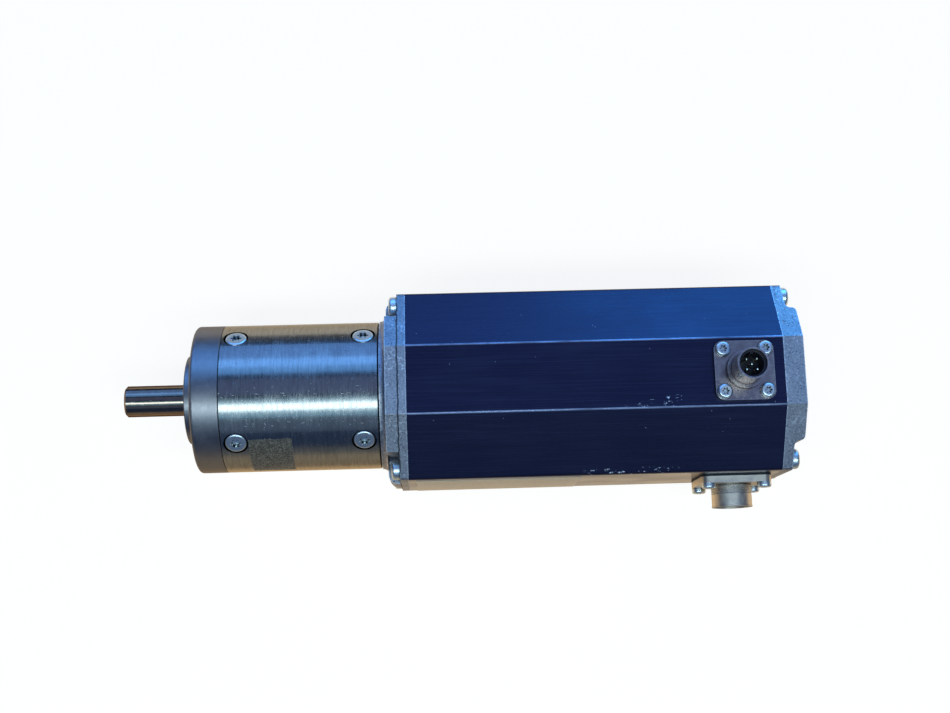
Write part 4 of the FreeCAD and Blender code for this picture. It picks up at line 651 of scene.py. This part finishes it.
def make_floor():
    """A wide flat pale table top, just under the object's lowest face."""
    left, right, front, back = -1.9, 2.1, -2.0, 2.0
    height = FLOOR_LEVEL - 0.2 * MM
    mesh = bpy.data.meshes.new("studio_floor")
    corners = [(left, front), (right, front), (right, back), (left, back)]
    mesh.from_pydata([(x, y, height) for x, y in corners], [], [(0, 1, 2, 3)])
    mesh.materials.append(pale_floor())
    floor = bpy.data.objects.new("studio_floor", mesh)
    bpy.context.scene.collection.objects.link(floor)
    return floor


def soft_panel(name, lean, distance, length, width, colour, radiance, slide=0.0):
    """A soft box over the object, leaning `lean` degrees from the zenith towards +Y, and facing it."""
    light = bpy.data.lights.new(name, "AREA")
    light.shape = "RECTANGLE"
    light.size = length
    light.size_y = width
    light.color = colour
    light.energy = radiance * math.pi * length * width
    panel = bpy.data.objects.new(name, light)
    angle = math.radians(lean)
    middle = (cad_centre.x + slide, cad_centre.y, 0.0)
    panel.location = Vector(middle) + Vector((0.0, math.sin(angle), math.cos(angle))) * distance
    panel.rotation_euler = (-angle, 0.0, 0.0)
    panel.visible_camera = False
    bpy.context.scene.collection.objects.link(panel)
    return panel


def make_lights(floor):
    """A narrow key in a soft halo, dim top and front lights, and blue ones that spare the floor."""
    soft_panel("key_panel", -22.0, 1.15, 1.5, 0.20, (0.80, 0.95, 1.0), 5.4)
    soft_panel("key_halo", -24.0, 1.20, 1.6, 0.60, (0.34, 0.72, 1.0), 1.05)
    soft_panel("top_panel", 9.0, 1.35, 1.8, 0.60, (0.40, 0.52, 1.0), 0.30)
    soft_panel("front_panel", -50.0, 1.3, 1.8, 0.50, (0.50, 0.72, 1.0), 0.22)
    skies = [soft_panel("sky_panel", 61.0, 1.15, 2.0, 0.84, (0.15, 0.38, 1.0), 1.35),
             soft_panel("low_sky_panel", 42.0, 1.20, 2.0, 0.54, (0.14, 0.42, 1.0), 1.6),
             soft_panel("rear_sky_panel", 74.0, 1.15, 1.3, 0.50, (0.03, 0.42, 1.0), 2.6, slide=0.80)]
    spared = bpy.data.collections.new("spared_by_sky")
    spared.objects.link(floor)
    spared.collection_objects[0].light_linking.link_state = "EXCLUDE"
    for sky in skies:
        sky.light_linking.receiver_collection = spared


def make_world():
    """Dim blue surroundings for the light, a pale backdrop for the eye."""
    world = bpy.data.worlds.new("studio_air")
    world.use_nodes = True
    tree = world.node_tree
    air = tree.nodes["Background"]
    air.inputs["Color"].default_value = (0.25, 0.45, 1.0, 1.0)
    air.inputs["Strength"].default_value = 0.17
    backdrop = tree.nodes.new("ShaderNodeBackground")
    backdrop.inputs["Color"].default_value = (0.97, 0.955, 0.93, 1.0)
    chooser = tree.nodes.new("ShaderNodeMixShader")
    ray = tree.nodes.new("ShaderNodeLightPath")
    tree.links.new(ray.outputs["Is Camera Ray"], chooser.inputs[0])
    tree.links.new(air.outputs[0], chooser.inputs[1])
    tree.links.new(backdrop.outputs[0], chooser.inputs[2])
    tree.links.new(chooser.outputs[0], tree.nodes["World Output"].inputs[0])
    bpy.context.scene.world = world


def make_camera():
    """Looks steeply down on the object from a little in front of its -Y side."""
    data = bpy.data.cameras.new("camera")
    data.sensor_width = 36.0
    data.lens = 54.06
    camera = bpy.data.objects.new("camera", data)
    camera.location = (0.095991, -0.093362, 0.580756)
    camera.rotation_mode = "ZYX"
    camera.rotation_euler = (0.185, -0.029, -0.025)
    bpy.context.scene.collection.objects.link(camera)
    bpy.context.scene.camera = camera


dress_cad_nodes()
make_power_socket_rings()
make_lights(make_floor())
make_world()
make_camera()
bpy.context.scene.view_settings.view_transform = "Standard"
